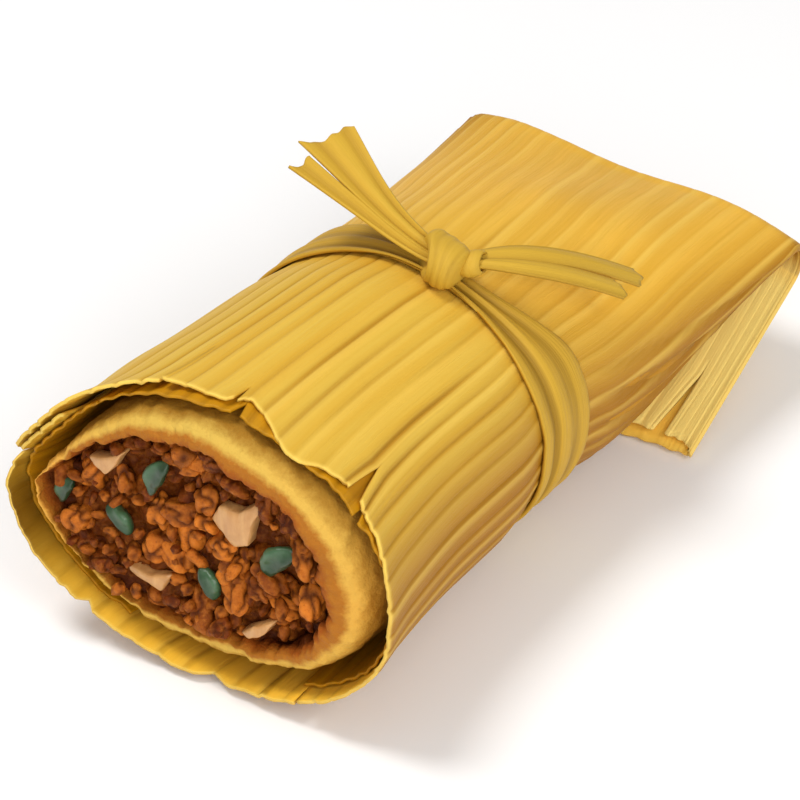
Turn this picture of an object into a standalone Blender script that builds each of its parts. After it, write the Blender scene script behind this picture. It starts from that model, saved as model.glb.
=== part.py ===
"""A tamale in its maize husk, cut open at one end.

Two husk leaves wrap a log of masa with a meat filling down its middle. A strip of husk ties the parcel,
and the leaf's far end is pressed flat and folded back underneath. Metres, +Z up, the log lies along Y
with its open end towards -Y, and it rests on Z = 0. While it is made, Y = 0 is the mouth of the husk.
"""

import math

import bmesh
import bpy
from mathutils import Matrix, Vector, noise

MM = 0.001

# Driving sizes of the parcel.
FOLD_START_Y = 118.5 * MM  # where the flattened leaf begins to turn under
FOLD_RADIUS = 3.4 * MM  # of the leaf's middle line round the fold
FOLD_TURN = math.radians(151)
FLAP_LENGTH = 38.5 * MM  # from the end of the turn to the torn end of the leaf
FLAP_NARROWING = 0.012  # share of its width that the flap loses by the end of the turn
FLAP_STEP = 1.8 * MM  # how far the flap's upper ply stops short of its lower ply
SPLIT_ACROSS = 0.75  # where the flap's upper ply is split, as a share of its half width
SPLIT_LEAN = 0.06
SPLIT_WIDTH = 1.3 * MM
SPLIT_LENGTH = 12.5 * MM
TIE_Y = 54.6 * MM

FOLD_END = FOLD_START_Y + FOLD_RADIUS * FOLD_TURN  # measured along the leaf
BODY_STATIONS = (5, 12, 24, 40, 48, 55, 62, 70, 80, 90, 99)  # rows that leaves and masa share, in millimetres

# Walls, and the gap left between pieces that touch.
OUTER_LEAF_WALL = 0.8 * MM
INNER_LEAF_WALL = 0.7 * MM
GAP = 0.3 * MM
FLAT_HALF_GAP = 0.45 * MM  # half the slit between the two plies of the flattened leaf

# Where the parcel's own form changes along its length: (distance from the mouth, size) in millimetres.
HALF_WIDTH = [(0, 32.4), (8, 30.5), (25, 28.1), (42, 27.6), (50, 26.7), (60, 26.7), (68, 27.8), (95, 29.9), (118.5, 31.8)]
TOP = [(0, 48), (20, 47.5), (40, 46.5), (50, 45), (60, 44.4), (68, 43.7), (84, 40.3), (103, 33.7), (118.5, 27.7)]
BOTTOM = [(0, -0.4), (40, -0.5), (49, 1.5), (61, 1.5), (70, 0.2), (80, 2.0), (88, 6.2), (100, 13.2), (110, 20), (118.5, 25.2)]
SIDE_SHIFT = [(0, -0.5), (12, -0.4), (30, 0), (90, 0.2), (118.5, 0.8)]
ROUNDNESS = (1.92, 1.72, 1.94, 2.27)  # superellipse powers: upper right, upper left, lower left, lower right

# The outer leaf laps over itself on the left side.
LEAF_START = math.radians(138)
LEAF_LAP = math.radians(28)
LAP_RISE = math.radians(50)  # the stretch over which the upper ply climbs on to the lower one
OUTER_LEAF_COLUMNS = 40
INNER_LEAF_START = math.radians(-62)
INNER_LEAF_SPAN = math.radians(304)
INNER_LEAF_COLUMNS = 27
RIB_DEPTH = [(0, 0.5), (45, 0.5), (55, 0.25), (66, 0.4), (100, 0.3), (118.5, 0.12)]

# Tears in the leaves' free edge at the mouth: (angle round the parcel, depth, half width in degrees).
MOUTH_EDGE = [(0, 0.6), (30, 2.2), (60, 3.2), (90, 2.6), (110, -1), (140, -3), (195, -3.6), (222, -1.8), (245, -0.9), (275, -0.7), (310, 0), (360, 0.6)]
OUTER_TEARS = [(38, 4.5, 8), (70, 2, 8), (101, 3.5, 8), (168, 4.4, 8), (236, 1.4, 8), (270, 2.2, 8), (318, 1.8, 8)]
INNER_EDGE = [(0, 2.0), (45, 0.8), (90, 1.0), (180, 2.0), (270, 2.4), (360, 2.0)]
INNER_TEARS = [(22, 2.5, 8), (52, 2.6, 8), (84, 3.2, 8)]
EDGE_FADE = 20 * MM  # a torn edge shifts the leaf's stations over this length

# The masa log and the space for its filling.
MASA_INSET = GAP + INNER_LEAF_WALL + GAP
MASA_FRONT_Y = -1.8 * MM
MASA_END_Y = 106 * MM
LOG_SIDES = 32  # of the masa and of its filling
RIM_BACK = 5.2 * MM  # how far back the rounded outer shoulder of the masa starts
FILL_END_Y = 97 * MM
FILL_FRONT_Y = 0.6 * MM
MASA_WALL_AT_MOUTH = [(0, 7.6), (50, 7.2), (90, 6.6), (130, 4.2), (180, 1.7), (225, 1.6), (270, 2.4), (315, 4.6), (360, 7.6)]
FILL_STATIONS = (78, 54, 28, 12)  # rows of the filling and its cavity, from the far end, in millimetres
MASA_WALL_INSIDE = 5.4 * MM
MOUTH_BLEND = 45 * MM  # the filling finds the middle of the log over this length

# The tie: a strip of husk round the parcel, knotted on top right of the middle.
TIE_WALL = 0.8 * MM
TIE_SIDES = 38
TIE_SPREAD = 6.6 * MM  # half width of the strip away from the knot
TIE_GATHERED = 2.3 * MM  # half width at the knot
KNOT_ANGLE = math.radians(72)
TIE_SLANT = 0.9 * MM
KNOT_SHIFT_Y = -3.3 * MM  # the knot pulls the strip towards the mouth
KNOT_LENGTH = 8.4 * MM
KNOT_RADIUS = 4.0 * MM
TAIL_WALL = 0.9 * MM

# Onion and green pepper in the cut face: x and z from the mouth's middle line, long axis in degrees.
ONION_PIECES = [
    ("onion_1", -18.2, 30.9, 20, [(-2.6, 1.6), (2.6, 1.8), (1.2, -1.6), (-0.6, -2.0)]),
    ("onion_2", 5.1, 28.6, 17, [(-4.2, 3.4), (4.3, 3.6), (2.2, -0.4), (1.6, -3.8), (-1.0, -3.4), (-2.2, 0.2)]),
    ("onion_3", -11.3, 13.7, -11, [(-3.5, 1.0), (0.2, 0.5), (3.2, 1.3), (3.0, -1.5), (0, -0.7), (-3.4, -0.6)]),
    ("onion_4", 8.1, 11.7, 33, [(-3.0, -0.5), (0.4, -1.1), (3.0, -0.2), (2.4, 0.9), (-1.4, 1.1)]),
]
PEPPER_PIECES = [
    ("pepper_1", -9.6, 31.3, 73, 6.6, 2.9),
    ("pepper_2", -16.4, 22.0, -42, 4.9, 2.6),
    ("pepper_3", -26.4, 23.1, 77, 4.4, 2.0),
    ("pepper_4", 11.0, 24.4, 45, 6.8, 3.3),
    ("pepper_5", -0.6, 16.2, -48, 4.9, 2.7),
]
ONION_DEPTH = 3.6 * MM
PEPPER_DEPTH = 2.4 * MM
PIECE_FRONT_Y = -0.3 * MM

HUSK_COLOUR = (0.72, 0.46, 0.11, 1)
INNER_HUSK_COLOUR = (0.5, 0.26, 0.02, 1)
TIE_COLOUR = (0.62, 0.42, 0.12, 1)
MASA_COLOUR = (0.62, 0.42, 0.14, 1)
FILLING_COLOUR = (0.22, 0.06, 0.012, 1)
ONION_COLOUR = (0.6, 0.36, 0.17, 1)
PEPPER_COLOUR = (0.05, 0.13, 0.06, 1)


def material(name, colour, roughness):
    made = bpy.data.materials.new(name)
    made.use_nodes = True
    shader = made.node_tree.nodes["Principled BSDF"]
    shader.inputs["Base Color"].default_value = colour
    shader.inputs["Roughness"].default_value = roughness
    return made


def add_object(name, mesh, finish):
    """A named object with its own material, joined to the parcel's empty."""
    obj = bpy.data.objects.new(name, mesh)
    bpy.context.scene.collection.objects.link(obj)
    obj.parent = PARCEL
    if finish:
        obj.data.materials.append(finish)
        mesh.shade_smooth()
        mesh.set_sharp_from_angle(angle=math.radians(50))
    return obj


def mesh_of(name, points, faces):
    mesh = bpy.data.meshes.new(name)
    mesh.from_pydata([tuple(p) for p in points], [], faces)
    shape = bmesh.new()
    shape.from_mesh(mesh)
    bmesh.ops.recalc_face_normals(shape, faces=shape.faces)
    shape.to_mesh(mesh)
    shape.free()
    return mesh


def curve_at(table, x):
    """A smooth curve through (x, value) pairs, without overshoot."""
    if x <= table[0][0]:
        return table[0][1]
    if x >= table[-1][0]:
        return table[-1][1]
    slopes = [(b[1] - a[1]) / (b[0] - a[0]) for a, b in zip(table, table[1:])]
    tangents = [slopes[0], *(0 if a * b <= 0 else 2 * a * b / (a + b) for a, b in zip(slopes, slopes[1:])), slopes[-1]]
    i = max(k for k in range(len(table) - 1) if table[k][0] <= x)
    (x0, v0), (x1, v1) = table[i], table[i + 1]
    h = x1 - x0
    t = (x - x0) / h
    return (
        v0 * (1 + 2 * t) * (1 - t) ** 2
        + h * tangents[i] * t * (1 - t) ** 2
        + v1 * t * t * (3 - 2 * t)
        + h * tangents[i + 1] * t * t * (t - 1)
    )


def size_at(table, y):
    """A size along the parcel, in metres."""
    return curve_at(table, y / MM) * MM


def smooth_step(t):
    t = max(0.0, min(1.0, t))
    return t * t * (3 - 2 * t)


def signed_power(value, power):
    return math.copysign(abs(value) ** power, value)


def fold_wave(across):
    """How far the flattened end rises above its middle line, from its left edge (-1) to its right (1)."""
    return (-2.0 * across + 0.6 * (1 - math.cos(5.2 * across + 0.35)) - 1.5 * across**4) * MM


def section_size(y):
    """Half width and half height inside the outer leaf at y, and the height of its middle."""
    low, high = size_at(BOTTOM, y), size_at(TOP, y)
    half_height = max((high - low) / 2 - OUTER_LEAF_WALL, FLAT_HALF_GAP)
    return size_at(HALF_WIDTH, y) - OUTER_LEAF_WALL, half_height, (low + high) / 2


def section_point(y, angle, outset):
    """A point of the cross-section at y, outset from the inside face of the outer leaf.

    It is given as x, the height of the section's middle, the height above that, and the rise of the wave.
    """
    half_width, half_height, middle = section_size(y)
    power = ROUNDNESS[int(angle % (2 * math.pi) // (math.pi / 2))]
    x = signed_power(math.cos(angle), 2 / power)
    z = signed_power(math.sin(angle), 2 / power)
    normal = Vector((signed_power(x, power - 1) / half_width, signed_power(z, power - 1) / half_height)).normalized()
    wave = fold_wave(x) * smooth_step((y - 72 * MM) / (FOLD_START_Y - 72 * MM))
    across = size_at(SIDE_SHIFT, y) + half_width * x + normal.x * outset
    return across, middle, half_height * z + normal.y * outset, wave


def place(along, angle, outset):
    """A point of a leaf, `along` the parcel from the mouth, round the fold and down the flap."""
    x, middle, up, wave = section_point(min(along, FOLD_START_Y), angle, outset)
    turn = min(max(along - FOLD_START_Y, 0) / FOLD_RADIUS, FOLD_TURN)
    run = max(along - FOLD_END, 0)
    x *= 1 - FLAP_NARROWING * smooth_step(turn / FOLD_TURN)
    y = min(along, FOLD_START_Y) + FOLD_RADIUS * math.sin(turn) + run * math.cos(turn)
    z = middle + wave * (1 - run / FLAP_LENGTH) - FOLD_RADIUS * (1 - math.cos(turn)) - run * math.sin(turn)
    return Vector((x, y + up * math.sin(turn), z + up * math.cos(turn)))


def torn_edge(edge, tears, angle):
    """Distance of a leaf's torn edge from the plane of the mouth."""
    turned = math.degrees(angle) % 360
    back = curve_at(edge, turned)
    for tear, depth, half_width in tears:
        off = abs((turned - tear + 180) % 360 - 180)
        back += depth * max(0, 1 - off / half_width)
    return back * MM


def leaf_grid(start, span, columns, stations, edge, tears, outset_at):
    """Rows of points of one face of a leaf: along the stations, and round the parcel from start.

    The flap's upper ply, which is the underside of the flattened leaf, stops short of the lower one.
    """
    rows = []
    for station in stations:
        row = []
        for k in range(columns + 1):
            angle = start + span * k / columns
            fade = max(0, 1 - station / EDGE_FADE)
            down_flap = max(0, (station - FOLD_END) / FLAP_LENGTH)
            short = FLAP_STEP * down_flap * smooth_step(-2.5 * math.sin(angle))
            along = station + torn_edge(edge, tears, angle) * fade - short
            row.append(place(along, angle, outset_at(along, angle, k)))
        rows.append(row)
    return rows


def leaf_mesh(name, inside, outside):
    """A closed sheet between two grids of points that have the same rows and columns."""
    rows, columns = len(inside), len(inside[0])
    points = [p for face in (inside, outside) for row in face for p in row]
    count = rows * columns

    def index(row, column):
        return row * columns + column

    faces = []
    for r in range(rows - 1):
        for c in range(columns - 1):
            quad = [index(r, c), index(r, c + 1), index(r + 1, c + 1), index(r + 1, c)]
            faces.append(quad)
            faces.append([count + i for i in reversed(quad)])
    border = [index(0, c) for c in range(columns)]
    border += [index(r, columns - 1) for r in range(1, rows)]
    border += [index(rows - 1, c) for c in range(columns - 2, -1, -1)]
    border += [index(r, 0) for r in range(rows - 2, 0, -1)]
    for a, b in zip(border, border[1:] + border[:1]):
        faces.append([a, b, count + b, count + a])
    return mesh_of(name, points, faces)


def loft_mesh(name, rings):
    """A closed body through rings of points, each end drawn together to a point."""
    sides = len(rings[0])
    points = [p for ring in rings for p in ring]
    points += [sum(ring, Vector()) / sides for ring in (rings[0], rings[-1])]
    first, last = len(points) - 2, len(points) - 1
    faces = []
    for r in range(len(rings) - 1):
        for k in range(sides):
            n = (k + 1) % sides
            faces.append([r * sides + k, r * sides + n, (r + 1) * sides + n, (r + 1) * sides + k])
    top = (len(rings) - 1) * sides
    for k in range(sides):
        n = (k + 1) % sides
        faces.append([k, first, n])
        faces.append([top + k, top + n, last])
    return mesh_of(name, points, faces)


def lap_lift(turned):
    """How far the outer leaf climbs over its own first edge, turned round from that edge."""
    return (OUTER_LEAF_WALL + GAP) * smooth_step((turned - (2 * math.pi - LAP_RISE)) / LAP_RISE)


def on_the_table(point, lift):
    """The underside is pressed flat by what it lies on."""
    return Vector((point.x, point.y, max(point.z, lift)))


def make_split_cutter():
    """A wedge that splits the flap's upper ply from its torn end."""
    end = FOLD_END + FLAP_LENGTH
    half = SPLIT_WIDTH / 2 / size_at(HALF_WIDTH, FOLD_START_Y)
    corners = [(end, SPLIT_ACROSS - half), (end, SPLIT_ACROSS + half), (end - SPLIT_LENGTH, SPLIT_ACROSS + SPLIT_LEAN)]
    points = []
    for outset in (-0.5 * FLAT_HALF_GAP, 2 * OUTER_LEAF_WALL):
        for along, across in corners:
            angle = -math.acos(across ** (ROUNDNESS[3] / 2))
            points.append(place(along, angle, outset))
    faces = [(0, 1, 2), (3, 5, 4), (0, 3, 4, 1), (1, 4, 5, 2), (2, 5, 3, 0)]
    cutter = add_object("split_cutter", mesh_of("split_cutter", points, faces), None)
    cutter.hide_render = True
    cutter.display_type = "WIRE"
    return cutter


def make_outer_leaf(finish):
    span = 2 * math.pi + LEAF_LAP
    stations = [y * MM for y in (0, *BODY_STATIONS, 108, 118.5)]
    stations += [FOLD_START_Y + (FOLD_END - FOLD_START_Y) * k / 5 for k in range(1, 6)]
    stations += [FOLD_END + FLAP_LENGTH * k / 3 for k in range(1, 4)]

    def ply(wall):
        def outset(along, angle, column):
            ridge = size_at(RIB_DEPTH, along) * (column % 2)
            return lap_lift(angle - LEAF_START) + ridge + wall

        rows = leaf_grid(LEAF_START, span, OUTER_LEAF_COLUMNS, stations, MOUTH_EDGE, OUTER_TEARS, outset)
        under_wall = OUTER_LEAF_WALL - wall
        return [[on_the_table(p, under_wall) for p in row] for row in rows]

    leaf = add_object("outer_leaf", leaf_mesh("outer_leaf", ply(0), ply(OUTER_LEAF_WALL)), finish)
    split = leaf.modifiers.new("split", "BOOLEAN")
    split.operation = "DIFFERENCE"
    split.object = make_split_cutter()
    return leaf


def make_inner_leaf(finish):
    stations = [y * MM for y in (0, *BODY_STATIONS[:-1])]

    def ply(outset):
        rows = leaf_grid(
            INNER_LEAF_START,
            INNER_LEAF_SPAN,
            INNER_LEAF_COLUMNS,
            stations,
            INNER_EDGE,
            INNER_TEARS,
            lambda along, angle, column: outset,
        )
        lift = OUTER_LEAF_WALL - outset
        return [[on_the_table(p, lift) for p in row] for row in rows]

    mesh = leaf_mesh("inner_leaf", ply(-GAP - INNER_LEAF_WALL), ply(-GAP))
    return add_object("inner_leaf", mesh, finish)


def masa_ring(y, closing=1.0):
    """A ring of the masa's outside at y, drawn towards its middle by `closing`."""
    ring = []
    for k in range(LOG_SIDES):
        x, middle, up, wave = section_point(y, 2 * math.pi * k / LOG_SIDES, -MASA_INSET)
        point = on_the_table(Vector((x, y, middle + wave + up)), OUTER_LEAF_WALL + MASA_INSET)
        centre = Vector((size_at(SIDE_SHIFT, y), y, middle + wave))
        ring.append(centre + (point - centre) * closing)
    return ring


def masa_wall(y, angle):
    """How thick the masa is between the leaves and the uneven filling."""
    share = smooth_step(y / MOUTH_BLEND)
    wall = curve_at(MASA_WALL_AT_MOUTH, math.degrees(angle)) * MM * (1 - share) + MASA_WALL_INSIDE * share
    return wall * (1 + 0.11 * math.sin(3 * angle + 1) + 0.09 * math.sin(7 * angle) + 0.05 * math.sin(12 * angle))


def fill_ring(y, inset):
    """A ring of the filling's side at y, inset from the masa."""
    half_width, half_height, _ = section_size(y)
    shift = size_at(SIDE_SHIFT, y)
    ring = []
    for k in range(LOG_SIDES):
        angle = 2 * math.pi * k / LOG_SIDES
        inward = MASA_INSET + masa_wall(y, angle) + inset
        x, middle, up, wave = section_point(y, angle, 0)
        x = shift + (x - shift) * (1 - inward / half_width)
        ring.append(Vector((x, y, middle + wave + up * (1 - inward / half_height))))
    return ring


def blended(ring_a, ring_b, share, y):
    """A ring between two others, set at y."""
    return [Vector((*(a.lerp(b, share)).xz, 0)).xzy + Vector((0, y, 0)) for a, b in zip(ring_a, ring_b)]


def make_masa(finish):
    shoulder_y = MASA_FRONT_Y + RIM_BACK
    mouth = fill_ring(MASA_FRONT_Y, 0)
    wall = masa_ring(shoulder_y)
    cavity_stations = [FILL_END_Y, *(y * MM for y in FILL_STATIONS), FILL_FRONT_Y + 1.5 * MM]
    rings = [fill_ring(y, 0) for y in cavity_stations]
    rings.append(blended(mouth, wall, 0.05, MASA_FRONT_Y + 1.6 * MM))
    rim_steps = 5
    for k in range(rim_steps + 1):
        bow = math.pi / 2 * k / rim_steps
        rings.append(blended(mouth, wall, 0.22 + 0.78 * math.sin(bow), shoulder_y - RIM_BACK * math.cos(bow)))
    rings += [masa_ring(y * MM) for y in BODY_STATIONS[1:]]
    straight_end = BODY_STATIONS[-1] * MM
    for share in (0.6, 0.95):
        y = straight_end + (MASA_END_Y - straight_end) * share
        rings.append(masa_ring(y, math.sqrt(1 - share**2)))
    return add_object("masa", loft_mesh("masa", rings), finish)


def lumpy_front(point):
    """The cut face of the filling, pitted and lumped with meat."""
    lump = noise.noise(point / (3.2 * MM)) + 0.5 * noise.noise(point / (1.6 * MM))
    return point + Vector((0, 1.5 * MM * lump, 0))


def make_filling(finish, cutters):
    edge = fill_ring(FILL_FRONT_Y, GAP)
    centre = sum(edge, Vector()) / len(edge)
    rings = [fill_ring(y, GAP) for y in (FILL_END_Y - GAP, *(y * MM for y in FILL_STATIONS))]
    rings.append(fill_ring(FILL_FRONT_Y + 1.5 * MM, GAP))
    front_rings = 6
    for k in range(front_rings):
        share = 0.97 - 0.87 * k / (front_rings - 1)
        rings.append([lumpy_front(centre + (p - centre) * share) for p in edge])
    filling = add_object("filling", loft_mesh("filling", rings), finish)
    for cutter in cutters:
        cut = filling.modifiers.new("pocket", "BOOLEAN")
        cut.operation = "DIFFERENCE"
        cut.object = cutter
    return filling


def turned_on_face(x, z, degrees, y):
    """Where a piece lies in the cut face: its own X and Z turned about the parcel's length."""
    turn = Matrix.Rotation(math.radians(-degrees), 4, "Y")
    return Matrix.Translation((x * MM, y, z * MM)) @ turn


def onion_mesh(name, outline, place_matrix, grow):
    """A chopped wedge of onion: an outline pushed back into the filling, its edges rounded."""
    shape = bmesh.new()
    half = ONION_DEPTH / 2 + grow
    middle = sum((Vector(p) for p in outline), Vector((0, 0))) / len(outline)
    corners = []
    for p in outline:
        away = (Vector(p) - middle).normalized() * grow * 1.5
        corners.append(shape.verts.new((p[0] * MM + away.x, -half, p[1] * MM + away.y)))
    face = shape.faces.new(corners)
    moved = bmesh.ops.extrude_face_region(shape, geom=[face])["geom"]
    back = [v for v in moved if isinstance(v, bmesh.types.BMVert)]
    bmesh.ops.translate(shape, vec=(0, 2 * half, 0), verts=back)
    bmesh.ops.bevel(shape, geom=shape.edges[:], offset=0.35 * MM, segments=1, affect="EDGES")
    bmesh.ops.transform(shape, matrix=place_matrix, verts=shape.verts)
    bmesh.ops.recalc_face_normals(shape, faces=shape.faces)
    mesh = bpy.data.meshes.new(name)
    shape.to_mesh(mesh)
    shape.free()
    return mesh


def pepper_mesh(name, length, width, place_matrix, grow):
    """A chopped scrap of green pepper: a bent, flattened bean."""
    shape = bmesh.new()
    bmesh.ops.create_icosphere(shape, subdivisions=2, radius=1)
    for v in shape.verts:
        bend = 0.25 * v.co.x**2 * width * MM
        v.co.x *= length * MM / 2 + grow
        v.co.z = v.co.z * (width * MM / 2 + grow) - bend
        v.co.y *= PEPPER_DEPTH / 2 + grow
    bmesh.ops.transform(shape, matrix=place_matrix, verts=shape.verts)
    mesh = bpy.data.meshes.new(name)
    shape.to_mesh(mesh)
    shape.free()
    return mesh


def make_face_pieces(onion_finish, pepper_finish):
    """The onion and pepper pieces, and the cutters for their pockets in the filling."""
    pocket_gap = GAP + 0.05 * MM
    cutters = []

    def add(name, mesh, cutter_mesh, finish):
        add_object(name, mesh, finish)
        cutter = add_object(name + "_pocket", cutter_mesh, None)
        cutter.hide_render = True
        cutter.display_type = "WIRE"
        cutters.append(cutter)

    for name, x, z, degrees, outline in ONION_PIECES:
        at = turned_on_face(x, z, degrees, PIECE_FRONT_Y + ONION_DEPTH / 2)
        piece, pocket = (onion_mesh(name, outline, at, grow) for grow in (0, pocket_gap))
        add(name, piece, pocket, onion_finish)
    for name, x, z, degrees, length, width in PEPPER_PIECES:
        at = turned_on_face(x, z, degrees, PIECE_FRONT_Y + PEPPER_DEPTH / 2)
        piece, pocket = (pepper_mesh(name, length, width, at, grow) for grow in (0, pocket_gap))
        add(name, piece, pocket, pepper_finish)
    return cutters


def away_from_knot(angle):
    """0 at the knot, 1 once the strip has spread to its full width."""
    off = abs((angle - KNOT_ANGLE + math.pi) % (2 * math.pi) - math.pi)
    return smooth_step((off - math.radians(8)) / math.radians(62))


def tie_outset(angle):
    """The strip lies on the ribs of the outer leaf, and over its lap."""
    turned = (angle - LEAF_START) % (2 * math.pi)
    lap_end = smooth_step((LEAF_LAP + math.radians(14) - turned) / math.radians(14))
    lap = max(lap_lift(turned), (OUTER_LEAF_WALL + GAP) * lap_end)
    return OUTER_LEAF_WALL + lap + RIB_DEPTH[0][1] * MM + GAP


def make_band():
    """The strip where it goes round the parcel, gathered at the knot."""
    across = (-1, -0.5, 0, 0.5, 1)
    inside, outside = [], []
    for share in across:
        rows = [], []
        for k in range(TIE_SIDES):
            angle = 2 * math.pi * k / TIE_SIDES
            spread = away_from_knot(angle)
            half = TIE_GATHERED + (TIE_SPREAD - TIE_GATHERED) * spread
            y = TIE_Y + KNOT_SHIFT_Y * (1 - spread) - TIE_SLANT * math.cos(angle) + half * share
            pleat = 0.35 * MM * (abs(share) == 0.5)
            for row, wall in zip(rows, (0, TIE_WALL)):
                point = place(y, angle, tie_outset(angle) + pleat + wall)
                row.append(on_the_table(point, TIE_WALL - wall))
        inside.append(rows[0])
        outside.append(rows[1])
    rings = inside + outside[::-1]
    points = [p for ring in rings for p in ring]
    faces = []
    for r in range(len(rings)):
        n = (r + 1) % len(rings)
        for k in range(TIE_SIDES):
            m = (k + 1) % TIE_SIDES
            faces.append([r * TIE_SIDES + k, r * TIE_SIDES + m, n * TIE_SIDES + m, n * TIE_SIDES + k])
    return mesh_of("band", points, faces)


def knot_centre():
    y = TIE_Y + KNOT_SHIFT_Y - TIE_SLANT * math.cos(KNOT_ANGLE)
    on_top = place(y, KNOT_ANGLE, tie_outset(KNOT_ANGLE) + TIE_WALL)
    return on_top + Vector((0, 0, 0.8 * KNOT_RADIUS))


def knot_mesh():
    """The wrapped lump of the knot, lying along the strip."""
    centre = knot_centre()
    lean = Vector((1, 0, -0.25)).normalized()
    side = Vector((0, 1, 0))
    up = lean.cross(side)
    profile = [(-0.5, 0.45), (-0.42, 0.78), (-0.2, 0.98), (0, 1), (0.2, 0.92), (0.42, 0.7), (0.5, 0.4)]
    rings = []
    for along, radius in profile:
        ring = []
        for k in range(12):
            angle = 2 * math.pi * k / 12
            reach = KNOT_RADIUS * radius * (1 + 0.06 * math.cos(3 * angle + 4 * along))
            ring.append(centre + lean * along * KNOT_LENGTH + (side * math.cos(angle) + up * math.sin(angle) * 0.9) * reach)
        rings.append(ring)
    return loft_mesh("knot", rings)


def tail_mesh(name, route, half_widths, side_start, side_end, slant):
    """A free end of the strip along a smooth route, widening from the knot to its torn end."""
    steps = 7
    rings = []
    for k in range(steps + 1):
        t = k / steps
        a, b, c, d = (Vector(p) for p in route)
        at = a * (1 - t) ** 3 + 3 * b * t * (1 - t) ** 2 + 3 * c * t * t * (1 - t) + d * t**3
        heading = 3 * ((b - a) * (1 - t) ** 2 + 2 * (c - b) * t * (1 - t) + (d - c) * t * t)
        side = Vector(side_start).lerp(Vector(side_end), t)
        side = (side - heading * side.dot(heading) / heading.length_squared).normalized()
        up = side.cross(heading).normalized()
        half = curve_at([(0, half_widths[0]), (0.45, half_widths[1]), (1, half_widths[2])], t)
        side_skew = side * half + heading.normalized() * slant * t**3
        ring = []
        for across, dip in ((-1, 0), (-0.5, 0.4), (0, 0), (0.5, 0.4), (1, 0)):
            ring.append(at + side_skew * across + up * (dip * MM + TAIL_WALL / 2))
        for across, dip in ((1, 0), (0.5, 0.4), (0, 0), (-0.5, 0.4), (-1, 0)):
            ring.append(at + side_skew * across + up * (dip * MM - TAIL_WALL / 2))
        rings.append(ring)
    return loft_mesh(name, rings)


def make_tie(finish):
    """Band, knot and both tails, which are one strip of husk."""
    centre = knot_centre()
    left = [
        centre + Vector((0, 0, 0)) * MM,
        centre + Vector((-9, 0, 1)) * MM,
        centre + Vector((-15, 1, 5.8)) * MM,
        centre + Vector((-23, 2, 10.6)) * MM,
    ]
    right = [
        centre + Vector((0, 0, 0)) * MM,
        centre + Vector((8, 4, 2)) * MM,
        centre + Vector((13, 11, -2.4)) * MM,
        centre + Vector((17, 19, -9.4)) * MM,
    ]
    band = add_object("tie", make_band(), finish)
    left_widths = (1.6 * MM, 2.7 * MM, 5.5 * MM)
    right_widths = (1.6 * MM, 2.4 * MM, 4 * MM)
    left_tail = tail_mesh("left_tail", left, left_widths, (0, 1, 0.2), (0.2, 1, 0.35), -2 * MM)
    right_tail = tail_mesh("right_tail", right, right_widths, (0.4, -1, 0), (0.9, -0.6, -0.35), 0)
    for mesh in (knot_mesh(), left_tail, right_tail):
        addition = add_object("tie_" + mesh.name, mesh, None)
        addition.hide_render = True
        addition.display_type = "WIRE"
        join = band.modifiers.new("join", "BOOLEAN")
        join.operation = "UNION"
        join.object = addition
    return band


def centre_on_origin():
    """Moves the parcel so that the origin is at the middle of the underside of its box."""
    bpy.context.view_layer.update()
    graph = bpy.context.evaluated_depsgraph_get()
    corners = []
    for obj in PARCEL.children:
        if not obj.hide_render:
            corners += [Vector(c) for c in obj.evaluated_get(graph).bound_box]
    low = Vector([min(c[i] for c in corners) for i in range(3)])
    high = Vector([max(c[i] for c in corners) for i in range(3)])
    middle = (low + high) / 2
    PARCEL.location = (-middle.x, -middle.y, -low.z)


for old in list(bpy.data.objects):
    bpy.data.objects.remove(old)
PARCEL = bpy.data.objects.new("parcel", None)
bpy.context.scene.collection.objects.link(PARCEL)

make_outer_leaf(material("husk", HUSK_COLOUR, 0.55))
make_inner_leaf(material("inner_husk", INNER_HUSK_COLOUR, 0.5))
make_masa(material("masa", MASA_COLOUR, 0.6))
pockets = make_face_pieces(material("onion", ONION_COLOUR, 0.35), material("pepper", PEPPER_COLOUR, 0.35))
make_filling(material("filling", FILLING_COLOUR, 0.35), pockets)
make_tie(material("tie", TIE_COLOUR, 0.55))
centre_on_origin()
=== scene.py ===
"""A tamale cut open at one end, in its maize husk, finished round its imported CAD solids.

Metres, +Z up. The log lies along Y with its open end towards -Y and rests on Z = 0.
"""

import math

import bpy
import numpy as np
from mathutils import Matrix, Vector, noise


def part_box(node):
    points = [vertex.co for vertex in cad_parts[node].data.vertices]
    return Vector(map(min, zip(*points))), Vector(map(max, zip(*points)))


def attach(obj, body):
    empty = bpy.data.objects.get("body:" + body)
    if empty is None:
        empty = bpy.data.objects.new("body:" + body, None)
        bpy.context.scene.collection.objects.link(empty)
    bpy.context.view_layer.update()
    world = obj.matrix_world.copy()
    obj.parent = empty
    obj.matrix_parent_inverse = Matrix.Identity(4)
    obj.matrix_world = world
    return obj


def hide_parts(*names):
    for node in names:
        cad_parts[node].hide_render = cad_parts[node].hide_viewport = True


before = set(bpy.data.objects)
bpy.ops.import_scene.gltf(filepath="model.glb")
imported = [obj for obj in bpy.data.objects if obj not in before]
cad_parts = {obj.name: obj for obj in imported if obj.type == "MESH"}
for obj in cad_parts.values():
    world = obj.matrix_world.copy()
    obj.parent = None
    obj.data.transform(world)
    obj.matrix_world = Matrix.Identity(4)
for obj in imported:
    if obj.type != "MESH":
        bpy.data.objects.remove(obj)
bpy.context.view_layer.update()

# ---------------------------------------------------------------------------------------------
# Outer husk leaf. A soaked and dried maize leaf, about half a millimetre thick and ribbed along
# its length, is wrapped once round the masa, lapped on the left, and its far end is pressed flat
# and folded back underneath. It is torn by hand at the open end.

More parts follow.
